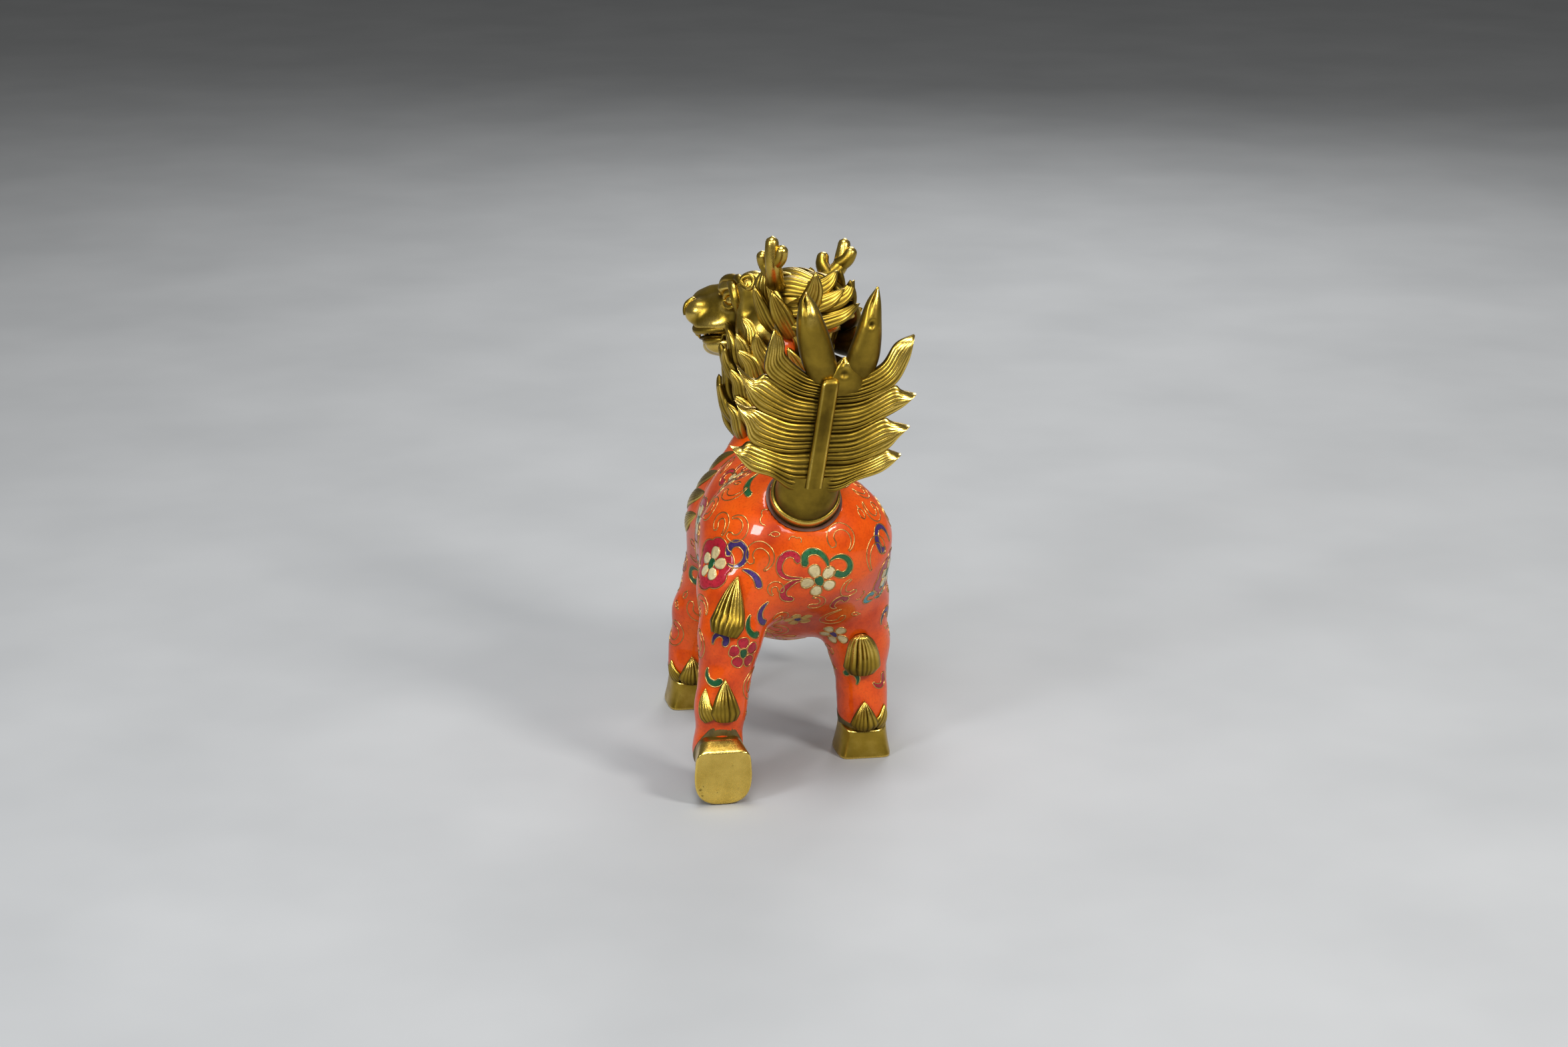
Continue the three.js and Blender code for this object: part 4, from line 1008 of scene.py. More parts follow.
def mane_locks(shell):
    """Rows of overlapping flame locks over the neck and the back of the head."""
    for row, (height, count) in enumerate(MANE_ROWS):
        for n in range(count):
            around = mix(-172, 172, (n + 0.5 * (row % 2)) / (count - 0.5))
            from_face = abs(around - HEAD_TURN)
            if height > 160 and from_face < 60:
                continue
            angle = math.radians(around)
            axis = neck_middle(height) if height < 162 else place(-14, 46, height)
            start = axis + 30 * place(math.sin(angle), math.cos(angle), 0)
            root = settle(MANE_FORM, start[None], 9)
            outward = slope_of(MANE_FORM, root)[0]
            root = root[0]
            at_nape = -14.5 < root[0] < 0 and root[1] > -38 and 140 < height < 170
            swept_back = height > 168 and root[0] < -14
            if at_nape or swept_back or SKIN(root[None])[0] < -1:
                continue
            lie = flow(root)
            lie = unit(lie - 0.85 * (lie @ outward) * outward)
            aside = np.cross(outward, lie)
            long = 15.5 + 2.0 * math.sin(5.1 * n + 2.3 * row) + (3 if height > 165 else 0)
            if height > 160 and root[0] < -14:
                long *= 0.55
            bend = 1.6 * math.sin(3.7 * n + row)
            lifted = 4.6 if height > 140 else 2.8
            path = [
                root - 2.2 * outward - 3.5 * lie,
                root + 0.9 * outward + 0.22 * long * lie + bend * aside,
                root + 0.5 * lifted * outward + 0.6 * long * lie + 1.4 * bend * aside,
                root + lifted * outward + long * lie - 0.5 * bend * aside,
            ]
            shell.add(*lock(path, outward, 11, 6, flutes=5, stations=15, sides=5, swell=leafy,
                            groove=0.25, rubbed=0.9))


def make_head(material):
    """The head with its face, antlers and crown hair, made in its own frame and moved into place."""
    low, high = np.array([-24.0, -24, -28]), np.array([SNOUT + 9, 24, 22])
    verts, faces = surface_of(HEAD_FORM, low, high, HEAD_CELL, 2)
    local = Shell()
    local.add(verts, faces, np.clip(0.25 + 0.6 * bumps(verts, faces.tolist(), 12, 0.22), 0, 1))
    local.add(*tongue())
    for side in (1, -1):
        add_eye(local, side)
        add_features(local, side)
    for side in (1, -1):
        for part in antler(side):
            local.add(*part)
    head_hair(local)
    shell = Shell()
    shell.join(local, from_head)
    shell.piece("gilt_head", material, "gilt", ["head"], sharp=70)


def make_mane(material):
    shell = Shell()
    verts, faces = surface_of(MANE_FORM, np.array([-45.0, -76, 104]), np.array([26.0, -16, 196]), MANE_CELL)
    shell.add(verts, faces, np.full(len(verts), 0.2))
    mane_locks(shell)
    shell.piece("gilt_mane", material, "gilt", sharp=70)


# Tufts and flames laid on the body
def laid(points, count):
    """A line laid on the body's skin."""
    return settle(SKIN, curve([place(*p) for p in points], count), 5)


def laid_lock(points, width, depth, flutes, swell, lifts, **more):
    """A fluted lock along a line on the skin, lifted off it by amounts from its root to its tip."""
    line = laid(points, 9)
    lift = np.interp(np.linspace(0, 1, 9), np.linspace(0, 1, len(lifts)), lifts)
    front = slope_of(SKIN, line)
    return lock(line + lift[:, None] * front, front[4], width, depth, flutes=flutes, swell=swell, **more)


def shell_swell(pointed):
    """Width of a tuft from its scalloped foot: pointed under 1 gives a long point, over 1 a rounded top."""
    return lambda t: max(1 - t ** 1.7, 0) ** (0.75 / pointed) * min(1, 0.72 + 1.6 * t)


def make_tuft(name, material, locks):
    parts = [
        laid_lock(points, width, depth, flutes, shell_swell(pointed), lifts, stations=30, groove=0.3)
        for points, width, depth, flutes, pointed, lifts in locks
    ]
    make_piece(f"gilt_{name}", parts, material, replaced=[name], sharp=75)


def fetlock_parts(left, back, low, high):
    """A tuft with a smaller one on its outer side, from low to high above a hoof."""
    outer = math.copysign(1, left)
    main = [(left, back, low), (left, back - 1, mix(low, high, 0.5)), (left, back, high)]
    small = [
        (left + outer * 5, back + 2, low - 0.5),
        (left + outer * 7, back + 3.5, mix(low, high, 0.3)),
        (left + outer * 7.5, back + 4.5, mix(low, high, 0.7)),
    ]
    return [(main, 12.5, 6.4, 6, 0.75, (0.2, 0.8, 1.1)), (small, 8.5, 3.4, 6, 0.9, (0, 0, 0.2))]


# Each tuft's locks: line, width, depth, flutes, how pointed, and how far lifted along the line
TUFTS = {
    "hock_tuft_left": [
        ([(34, -61, 68.5), (32, -62, 79.5), (30, -61, 93)], 15, 8.6, 7, 0.85, (0.3, 1.0, 0.8)),
    ],
    "hock_tuft_right": [
        ([(-27.5, -31, 38.5), (-27.5, -32, 47), (-26.5, -32, 57)], 16, 8.4, 7, 2.0, (0.3, 0.8, 0.7)),
    ],
    "fetlock_tuft_front_left": fetlock_parts(34, 41, 13.5, 24.5),
    "fetlock_tuft_front_right": fetlock_parts(-31, 61, 52, 64),
    "fetlock_tuft_hind_left": fetlock_parts(34, -64, 34, 51),
    "fetlock_tuft_hind_right": fetlock_parts(-29, -29.5, 14, 26),
}
# The lines of the left shoulder's flame, from the lowest tongue up
TONGUES = [
    [(28, 56, 78), (32, 43, 84), (34, 26, 93)],
    [(27, 57, 84), (30, 44, 93), (31, 26, 103)],
    [(24, 57, 90), (26, 44, 101), (25, 27, 112)],
    [(21, 56, 96), (20, 44, 107), (15, 29, 118)],
]


def tongue_line(side, points):
    return [(side * left, forward, height) for left, forward, height in points]


def make_shoulder_flame(side, material):
    """A flame of tongues laid on the shoulder, swept up and back."""
    lifts = (-0.5, -0.6, -0.4)
    parts = [
        laid_lock(tongue_line(side, points), 11.5, 3.4, 6, leafy, lifts, stations=26, groove=0.28)
        for points in TONGUES
    ]
    name = "shoulder_flame_left" if side > 0 else "shoulder_flame_right"
    make_piece(f"gilt_{name}", parts, material, replaced=[name], sharp=75)


# Cloisonné: flat drawings in millimetres, wrapped onto the skin round their own places
UP = np.array([0, 0, 1.0])
BACKWARD = np.array([0, 1.0, 0])
# Headings in degrees that a scroll turns through
CURL = [0, 22, 58, 104, 158, 215, 290]
COMMA = [0, 30, 75, 120, 180, 262]
SCROLL_WIDTH = 2.7
# How much wider the coloured scrolls seen from behind are than their own table says
BOLD = 1.2
PETALS = 5
LARGE_FLOWER = 10.5
MIDDLE_FLOWER = 7.2
SMALL_FLOWER = 5.6
# Room kept free round a drawing's lines
CLEARANCE = 3.4


def seen_from(direction, spots):
    """Where lines that come in along a direction first meet the skin."""
    direction = np.asarray(direction, float)
    p = np.asarray(spots, float) - 130 * direction
    for _ in range(90):
        p = p + 0.8 * SKIN(p)[:, None] * direction
    return settle(SKIN, p, 2)


def behind(left, height):
    return seen_from(-BACKWARD, [place(left, 0, height)])[0]


def facing(spots, turns, mirrored):
    """Each place's own right and up along the skin, seen from outside and turned anticlockwise."""
    outward = slope_of(SKIN, spots)
    level = np.where(np.abs(outward[:, 2:]) > 0.93, -BACKWARD, UP)
    up = unit(level - (level * outward).sum(1, keepdims=True) * outward)
    right = np.cross(up, outward) * np.where(mirrored, -1.0, 1.0)[:, None]
    cos = np.cos(np.radians(turns))[:, None]
    sin = np.sin(np.radians(turns))[:, None]
    return cos * right + sin * up, cos * up - sin * right


def wrapped(spots, across, along, flat):
    """Flat places laid out along the skin from their spots, with the skin's outward directions there."""
    reach = np.linalg.norm(flat, axis=1, keepdims=True)
    heading = (flat[:, :1] * across + flat[:, 1:] * along) / np.maximum(reach, 1e-9)
    p = spots
    steps = 7
    for _ in range(steps):
        p = p + heading * reach / steps
        outward = slope_of(SKIN, p)
        p = p - SKIN(p)[:, None] * outward
        heading = unit(heading - (heading * outward).sum(1, keepdims=True) * outward)
    return settle(SKIN, p, 1), outward


def turning(start, length, headings, count=28):
    """A flat line that starts at a place and turns through the headings, in degrees."""
    share = (np.arange(count) + 0.5) / count
    angle = np.radians(np.interp(share, np.linspace(0, 1, len(headings)), headings))
    steps = length / count * np.stack([np.cos(angle), np.sin(angle)], 1)
    return np.vstack([[start], start + np.cumsum(steps, axis=0)])


def strip(line, widths, colour, lift=0.06):
    tangent = unit(np.gradient(line, axis=0))
    normal = np.stack([-tangent[:, 1], tangent[:, 0]], 1)
    share = np.linspace(-1, 1, 5)
    grid = line[:, None] + normal[:, None] * (0.5 * widths[:, None] * share)[..., None]
    return {"kind": "strip", "grid": grid, "colour": colour, "lift": lift}


def hook(length, headings=CURL, width=SCROLL_WIDTH, colour=None, start=(0, 0)):
    """A scroll that swells from a thin stem and rolls up to a round end."""
    line = turning(np.array(start, float), length, headings)
    along = np.linspace(0, 1, len(line))
    widths = width * np.interp(along, [0, 0.25, 0.6, 1], [0.25, 0.7, 1.0, 1.05])
    left = (1 - along) * length / (width / 2)
    widths = widths * np.sqrt(np.clip(1 - np.clip(1 - left, 0, 1) ** 2, 0.003, 1))
    return [strip(line, widths, colour)]


def petal(angle, inner, outer, width, colour, lift=0.08):
    share = 0.5 - 0.5 * np.cos(np.linspace(0, math.pi, 13))
    reach = mix(inner, outer, share)
    direction = np.array([math.cos(angle), math.sin(angle)])
    widths = width * np.sqrt(np.clip(1 - (2 * share - 1) ** 2, 0.002, 1)) ** 0.85 * (0.84 + 0.3 * share)
    return strip(reach[:, None] * direction, widths, colour, lift)


def flower(radius, petals, heart, fullness=3.2, lift=0.08):
    """Petals round a heart, the first of them pointing up."""
    first = math.radians(90)
    parts = []
    for n in range(PETALS):
        outer = radius * (1 + 0.06 * math.sin(5 * n + radius))
        width = fullness * radius / PETALS
        parts.append(petal(first + 2 * math.pi * n / PETALS, 0.28 * radius, outer, width, petals, lift))
    parts.append(petal(first, -0.33 * radius, 0.33 * radius, 0.5 * radius, heart, lift + 0.05))
    return parts


def blossom(radius, base, petals, heart):
    """A flower on a scalloped cell of its own."""
    angle = np.linspace(0, 2 * math.pi, 73)
    edge = radius * (0.84 + 0.16 * np.abs(np.sin(3 * angle + 0.4)) ** 0.6)
    round_about = np.stack([np.cos(angle), np.sin(angle)], 1)
    rings = [share * edge[:, None] * round_about for share in (0.06, 0.35, 0.65, 0.88, 1.0)]
    cell = {"kind": "disc", "grid": np.array(rings), "colour": base, "lift": 0.05}
    return [cell] + flower(0.62 * radius, petals, heart, lift=0.2)


def wire_only(line):
    """A drawing's part that has a wire and no cell."""
    return {"kind": "wire", "grid": np.asarray(line, float)[:, None], "colour": None, "lift": 0}


def three(size):
    """Two small arcs, one over the other."""
    upper = turning(np.array([0.55, 1.0]) * size, 1.5 * size, [160, 200, 270, 320], 14)
    lower = turning(upper[-1], 1.7 * size, [230, 270, 320, 365], 14)
    return [wire_only(upper), wire_only(lower)]


def seed(size):
    """A small oval with a stalk."""
    angle = np.linspace(0, 2 * math.pi, 25)
    oval = np.stack([0.55 * size * np.cos(angle), size * np.sin(angle)], 1)
    return [wire_only(oval), wire_only([(0, size), (0.25 * size, 1.3 * size), (0.1 * size, 1.6 * size)])]


class Room:
    """Which small cubes round the body are already taken by drawings or castings."""

    def __init__(self, low, high):
        self.low = low
        self.taken = np.zeros(np.ceil(high - low).astype(int), bool)

    def cubes(self, points):
        return np.clip((points - self.low).astype(int), 0, np.array(self.taken.shape) - 1)

    def take(self, points, radius):
        axis = np.arange(-math.ceil(radius), math.ceil(radius) + 1)
        near = np.stack(np.meshgrid(axis, axis, axis, indexing="ij"), -1).reshape(-1, 3)
        near = near[np.linalg.norm(near, axis=1) <= radius]
        cubes = (self.cubes(points)[:, None] + near).reshape(-1, 3)
        cubes = np.clip(cubes, 0, np.array(self.taken.shape) - 1)
        self.taken[tuple(cubes.T)] = True

    def free(self, points):
        return not self.taken[tuple(self.cubes(points).T)].any()


# How far back from the middle the wires are parted into two pieces
WIRES_PART = 10


class Inlay:
    """Drawings gathered with their places, wrapped together and made into cells and wires."""

    def __init__(self):
        self.spots = []
        self.turns = []
        self.mirrored = []
        self.parts = []

    def draw(self, spot, parts, turn=0.0, mirrored=False):
        self.parts.extend((len(self.spots), part) for part in parts)
        self.spots.append(spot)
        self.turns.append(turn)
        self.mirrored.append(mirrored)

    def laid_out(self):
        spots = np.array(self.spots)
        across, along = facing(spots, np.array(self.turns), np.array(self.mirrored))
        owner = np.concatenate([np.full(part["grid"][..., 0].size, n) for n, part in self.parts])
        flat = np.vstack([part["grid"].reshape(-1, 2) for n, part in self.parts])
        points, outward = wrapped(spots[owner], across[owner], along[owner], flat)
        at = 0
        for n, part in self.parts:
            shape = part["grid"].shape[:2]
            count = shape[0] * shape[1]
            yield part, points[at:at + count].reshape(*shape, 3), outward[at:at + count].reshape(*shape, 3)
            at += count

    def shells(self):
        """One shell for each colour, and two for the wires: behind the tail's seat and in front of it."""
        shells = {"wires_behind": Shell(), "wires_in_front": Shell()}
        for part, points, outward in self.laid_out():
            kind = part["kind"]
            if part["colour"] is not None:
                shell = shells.setdefault(part["colour"], Shell())
                top = points + part["lift"] * outward
                low = points - 0.25 * outward
                if kind == "strip":
                    shell.add(*rings_skin([np.vstack([a, b[::-2]]) for a, b in zip(top, low)]))
                else:
                    shell.add(*rings_skin([ring[:-1] for ring in top] + [low[-1][:-1]]))
            if kind == "strip":
                line = np.vstack([points[:, 0], points[::-1, -1], points[:1, 0]])
                away = np.vstack([outward[:, 0], outward[::-1, -1], outward[:1, 0]])
            elif kind == "disc":
                line, away = points[-1], outward[-1]
            else:
                line, away = points[:, 0], outward[:, 0]
            group = "wires_behind" if line[0][1] > WIRES_PART else "wires_in_front"
            shells[group].add(*wire_along(line, away))
        return shells


def wire_along(line, outward):
    """A thin flat-topped wire on the skin."""
    tangent = unit(np.gradient(line, axis=0))
    aside = unit(np.cross(tangent, outward))
    section = [(-0.26, -0.2), (-0.2, 0.17), (0.2, 0.17), (0.26, -0.2)]
    rings = [[spot + x * across + z * out for x, z in section]
             for spot, across, out in zip(line, aside, outward)]
    return rings_skin(rings)


# The scrolls seen from behind: left and height where each starts, length, headings, width and colour
REAR_HOOKS = [
    (30.6, 94.5, 25.4, [-30, 7, 48, 78, 120, 163, 209, 256, 329], 2.4, "violet"),
    (25.2, 92.9, 11.3, [-3, -30, -60, -95], 2.4, "violet"),
    (1.8, 89.8, 26.0, [174, 185, 151, 98, 69, 28, -38, -114], 2.3, "crimson"),
    (1.8, 89.0, 17.4, [180, 216, 236, 307, 394], 2.3, "crimson"),
    (-8.6, 93.5, 19.3, [86, 120, 144, 188, 259, 307], 2.4, "green"),
    (-9.3, 96.3, 21.7, [45, 7, -30, -74, -129, -197, -233], 2.4, "green"),
    (20.4, 121.6, 18.8, [-80, -120, -165, -215, -260], 2.7, None),
    (27.6, 111.4, 20.9, [42, 0, -51, -94, -135, -186, -243], 2.9, None),
    (31.9, 104.4, 18.4, [60, 86, 130, 207, 265, 325], 2.7, None),
    (16.9, 93.1, 25.0, [29, 66, 113, 157, 212, 265, 338], 2.9, None),
    (-17.5, 99.6, 25.0, [41, 76, 120, 161, 212, 270, 323], 2.9, None),
    (-27.6, 89.2, 25.0, [127, 98, 63, 10, -63, -120], 2.9, None),
    (-22.1, 119.7, 19.0, [-90, -50, -8, 59, 112, 202], 2.7, None),
    (-36.9, 98.0, 26.0, [110, 107, 150, 222, 270, 304, 405], 2.4, "violet"),
    (-18.7, 87.1, 15.0, [200, 250, 300, 360, 420], 2.7, None),
    (13.3, 82.5, 12.0, [150, 90, 20, -60, -120], 2.4, None),
    (-3.0, 80.3, 14.0, [20, -40, -100, -170, -240], 2.7, None),
    (14.1, 125.5, 17.0, [200, 225, 250, 300], 2.3, "green"),
    (15.0, 79.5, 13.0, [215, 240, 290, 370], 2.3, "violet"),
    (22.5, 75.0, 13.0, [230, 260, 320, 400], 2.2, "green"),
    (-14.0, 72.5, 15.0, [160, 110, 60, -20, -110], 2.3, "crimson"),
    (-31.5, 73.5, 14.0, [-30, 20, 80, 160, 250], 2.3, "turquoise"),
    (-30.5, 72.5, 13.0, [200, 170, 100, 10, -80], 2.3, "turquoise"),
    (38.0, 64.0, 13.0, [100, 60, 0, -80, -160], 2.3, "violet"),
    (40.0, 54.0, 12.0, [-110, -60, 0, 80], 2.3, "green"),
    (-36.0, 58.5, 14.0, [110, 80, 20, -60, -150], 2.3, "violet"),
    (-26.0, 32.5, 11.0, [60, 110, 180, 260], 2.2, "green"),
    (-33.0, 33.0, 11.0, [-60, -10, 70, 150], 2.2, "crimson"),
]
# The flowers seen from behind: left and height, turn in degrees, and drawing
REAR_FLOWERS = [
    (-5.2, 88.1, 25, flower(7.6, "cream", "green")),
    (36.3, 93.0, 0, blossom(11.2, "crimson", "cream", "green")),
    (-36.7, 83.5, 10, blossom(10.6, "crimson", "cream", "green")),
    (26.0, 60.2, 0, flower(6.6, "crimson", "green", fullness=3.9)),
    (-16.0, 55.5, 20, flower(6.2, "cream", "violet")),
    (1.0, 67.0, 15, flower(6.0, "yellow", "violet")),
]
# Two small signs in wire only, in the same way
REAR_SIGNS = [(16.6, 113.5, 0, three(3.2)), (-24.2, 111.9, 10, seed(2.4))]
# How far forward the middle of the belly's dark cell lies
BELLY_FORWARD = 14


def obstacles(room):
    """Room taken by the castings, the tail's seat and the mane."""
    for drawing in TUFTS.values():
        for points, width, *_ in drawing:
            room.take(laid(points, 14), width / 2 + 2.2)
    for side in (1, -1):
        for points in TONGUES:
            room.take(laid(tongue_line(side, points), 18), 8.4)
    for pose in FEET.values():
        room.take(np.array([pose(TOP_MIDDLE + t * TOP_NORMAL) for t in (-6, 0, 3)]), 13.5)
    room.take(SEAT_MIDDLE[None], HOLE_RADIUS + 3)
    room.take(np.array([neck_middle(height) for height in range(124, 170, 4)]), 19)


def path_of(parts, skip=0.0):
    """The middle lines of a drawing's parts, less a share of each at its start, and rings in a cell."""
    lines = []
    for part in parts:
        grid = part["grid"]
        if part["kind"] == "disc":
            lines.append(grid[-1][::5])
            lines.append(grid[2][::8])
        else:
            line = grid[:, grid.shape[1] // 2]
            lines.append(line[int(skip * len(line))::3])
            lines.append(line[-1:])
    return np.vstack(lines)


def belly_cell():
    """The dark oval under the belly: green enamel, made near black as painted shade."""
    angle = np.linspace(0, 2 * math.pi, 97)
    oval = np.stack([21 * np.cos(angle), 27 * np.sin(angle)], 1)
    rings = [share * oval for share in (0.04, 0.2, 0.36, 0.52, 0.68, 0.84, 1.0)]
    return [{"kind": "disc", "grid": np.array(rings), "colour": "night", "lift": 0.04}]


def spread(spot, flat, turn, mirrored):
    """Flat places of one drawing, laid out along the skin round its spot."""
    across, along = facing(spot[None], np.array([turn]), np.array([mirrored]))
    ones = np.ones((len(flat), 1))
    return wrapped(ones * spot, ones * across, ones * along, flat)[0]


def put(room, inlay, spot, parts, turn, clearance):
    """A drawing at a spot, with the room round its lines taken."""
    inlay.draw(spot, parts, turn)
    room.take(spread(spot, path_of(parts), turn, False), clearance)


def scatter(room, inlay, spots, make, tries, apart=0.0, others=()):
    """Drawings put wherever they still fit among a number of tries, and far enough from the others."""
    chosen = spots[rng.integers(0, len(spots), tries)]
    turns = rng.uniform(0, 360, tries)
    mirrored = rng.random(tries) < 0.5
    kinds = [make(n) for n in range(6)]
    across, along = facing(chosen, turns, mirrored)
    kind_of = rng.integers(0, len(kinds), tries)
    made = []
    centres = list(others)
    for k, parts in enumerate(kinds):
        flat = path_of(parts)
        mine = np.flatnonzero(kind_of == k)
        owner = np.repeat(mine, len(flat))
        points, _ = wrapped(chosen[owner], across[owner], along[owner], np.tile(flat, (len(mine), 1)))
        for n, path in zip(mine, points.reshape(len(mine), len(flat), 3)):
            crowded = apart and any(np.linalg.norm(chosen[n] - other) < apart for other in centres)
            if room.free(path) and not crowded:
                room.take(path, CLEARANCE)
                centres.append(chosen[n])
                inlay.draw(chosen[n], parts, turns[n], mirrored[n])
                made.append((chosen[n], turns[n], mirrored[n]))
    return made


def sprout(room, inlay, flowers, radius):
    """Coloured scrolls in pairs from each flower, up to three, where there is room for them."""
    colours = ["violet", "green", "crimson", "turquoise"]
    for n, (spot, turn, mirrored) in enumerate(flowers):
        colour = colours[n % len(colours)]
        grown = 0
        for angle in range(0, 360, 40):
            for bend in (1, -1):
                root = radius * np.array([math.cos(math.radians(angle)), math.sin(math.radians(angle))])
                parts = hook(17, [angle + bend * h for h in CURL], SCROLL_WIDTH, colour, root * 0.9)
                points = spread(spot, path_of(parts, 0.3), turn, mirrored)
                if grown < 3 and room.free(points):
                    room.take(points, CLEARANCE)
                    inlay.draw(spot, parts, turn, mirrored)
                    grown += 1


def draw_rear(room, inlay):
    """The drawings that stand in set places behind."""
    for left, height, length, headings, width, colour in REAR_HOOKS:
        parts = hook(length, headings, BOLD * width if colour else width, colour)
        put(room, inlay, behind(left, height), parts, 0, 3.6)
    for left, height, turn, parts in REAR_FLOWERS:
        put(room, inlay, behind(left, height), parts, turn, 3.2)
    for left, height, turn, parts in REAR_SIGNS:
        put(room, inlay, behind(left, height), parts, turn, 2.4)


def draw_belly(room, inlay):
    """Under the belly, a dark oval with three flowers, each between two scrolls."""
    def under(left, along):
        return place(left, BELLY_FORWARD + along, 0)
    inlay.draw(seen_from(UP, [under(0, 0)])[0], belly_cell())
    for along in (-15, 0, 15):
        spot = seen_from(UP, [under(0, along)])[0]
        inlay.draw(spot, flower(6.5, "yellow", "turquoise"), 20.0 + along)
        for side in (-12, 12):
            spot = seen_from(UP, [under(side, along)])[0]
            inlay.draw(spot, hook(14, CURL, SCROLL_WIDTH, "green", (-3, -3)), 30.0 + along, side < 0)
    for side in (-14, 0, 14):
        room.take(seen_from(UP, [under(side, along) for along in range(-21, 22, 7)]), 9)


def large_flower(n):
    return blossom(LARGE_FLOWER, "crimson", "cream", ["green", "violet"][n % 2])


def middle_flower(n):
    petals = ["cream", "cream", "yellow"][n % 3]
    return flower(MIDDLE_FLOWER, petals, ["green", "violet", "turquoise"][n % 3])


def small_flower(n):
    return flower(SMALL_FLOWER, ["crimson", "cream"][n % 2], ["green", "violet"][n % 2])


# The scattered flowers: drawing, radius, number of tries, and how far each stands from any other
SCATTERED = [
    (large_flower, LARGE_FLOWER, 500, 38),
    (middle_flower, MIDDLE_FLOWER, 900, 27),
    (small_flower, SMALL_FLOWER, 900, 23),
]


def draw_scattered(room, inlay, spots):
    """Flowers with their scrolls, then plain wire scrolls, then small signs, wherever there is room."""
    placed = [behind(left, height) for left, height, *_ in REAR_FLOWERS]
    for make, radius, tries, apart in SCATTERED:
        made = scatter(room, inlay, spots, make, tries, apart, placed)
        sprout(room, inlay, made, radius)
        placed += [spot for spot, *_ in made]
    for length, tries in ((25, 2500), (20, 3000), (15, 4000)):
        scatter(room, inlay, spots, lambda n: hook(length, CURL if n % 2 else COMMA), tries)
    scatter(room, inlay, spots, lambda n: [three(2.4), seed(1.8)][n % 2], 900)


def make_inlay(spots, enamels, wire):
    """All cells and wires, one piece for each colour of enamel and two for the wires."""
    inlay = Inlay()
    room = Room(np.array([-60.0, -105, -5]), np.array([60.0, 95, 190]))
    obstacles(room)
    draw_rear(room, inlay)
    draw_belly(room, inlay)
    draw_scattered(room, inlay, spots)
    for name, shell in inlay.shells().items():
        if name.startswith("wire"):
            shell.piece(f"cloison_{name}", wire, "gilt")
        else:
            shell.piece(f"enamel_{name}", enamels[name], "enamel")


# Materials
class Looks:
    """A material that is built up node by node."""

    def __init__(self, name):
        self.material = bpy.data.materials.new(name)
        self.material.use_nodes = True
        self.nodes = self.material.node_tree.nodes
        self.links = self.material.node_tree.links
        self.surface = self.nodes["Principled BSDF"].inputs

    def feed(self, socket, value):
        """A number or a colour set on a socket, or a node's output linked to it."""
        if isinstance(value, (int, float)):
            socket.default_value = value
        elif isinstance(value, tuple):
            socket.default_value = (*value, 1)
        else:
            self.links.new(value, socket)

    def noise(self, scale, detail, roughness):
        """Noise in the object's own metres; scale counts blobs to a metre."""
        where = self.nodes.new("ShaderNodeTexCoord")
        texture = self.nodes.new("ShaderNodeTexNoise")
        texture.inputs["Scale"].default_value = scale
        texture.inputs["Detail"].default_value = detail
        texture.inputs["Roughness"].default_value = roughness
        self.links.new(where.outputs["Object"], texture.inputs["Vector"])
        return texture.outputs["Fac"]

    def ramp(self, source, stops):
        """Colours, or greys given as one number, at places along a source from 0 to 1."""
        made = self.nodes.new("ShaderNodeValToRGB")
        band = made.color_ramp
        while len(band.elements) < len(stops):
            band.elements.new(0.5)
        for element, (at, colour) in zip(band.elements, stops):
            element.position = at
            element.color = (*colour, 1) if isinstance(colour, tuple) else (colour, colour, colour, 1)
        self.links.new(source, made.inputs["Fac"])
        return made.outputs["Color"]

    def math_node(self, kind, *values):
        made = self.nodes.new("ShaderNodeMath")
        made.operation = kind
        for socket, value in zip(made.inputs, values):
            self.feed(socket, value)
        return made.outputs[0]

    def mixed(self, share, a, b):
        """Two colours mixed by a share."""
        made = self.nodes.new("ShaderNodeMix")
        made.data_type = "RGBA"
        for socket, value in ((made.inputs[0], share), (made.inputs[6], a), (made.inputs[7], b)):
            self.feed(socket, value)
        return made.outputs[2]

    def bump(self, height, strength, depth):
        made = self.nodes.new("ShaderNodeBump")
        made.inputs["Strength"].default_value = strength
        made.inputs["Distance"].default_value = depth
        self.links.new(height, made.inputs["Height"])
        self.links.new(made.outputs["Normal"], self.surface["Normal"])

    def two_toned(self, scale, detail, roughness, dark, pale):
        """A base colour that drifts between two tones."""
        tone = self.noise(scale, detail, roughness)
        self.links.new(self.ramp(tone, [(0.3, dark), (0.7, pale)]), self.surface["Base Color"])


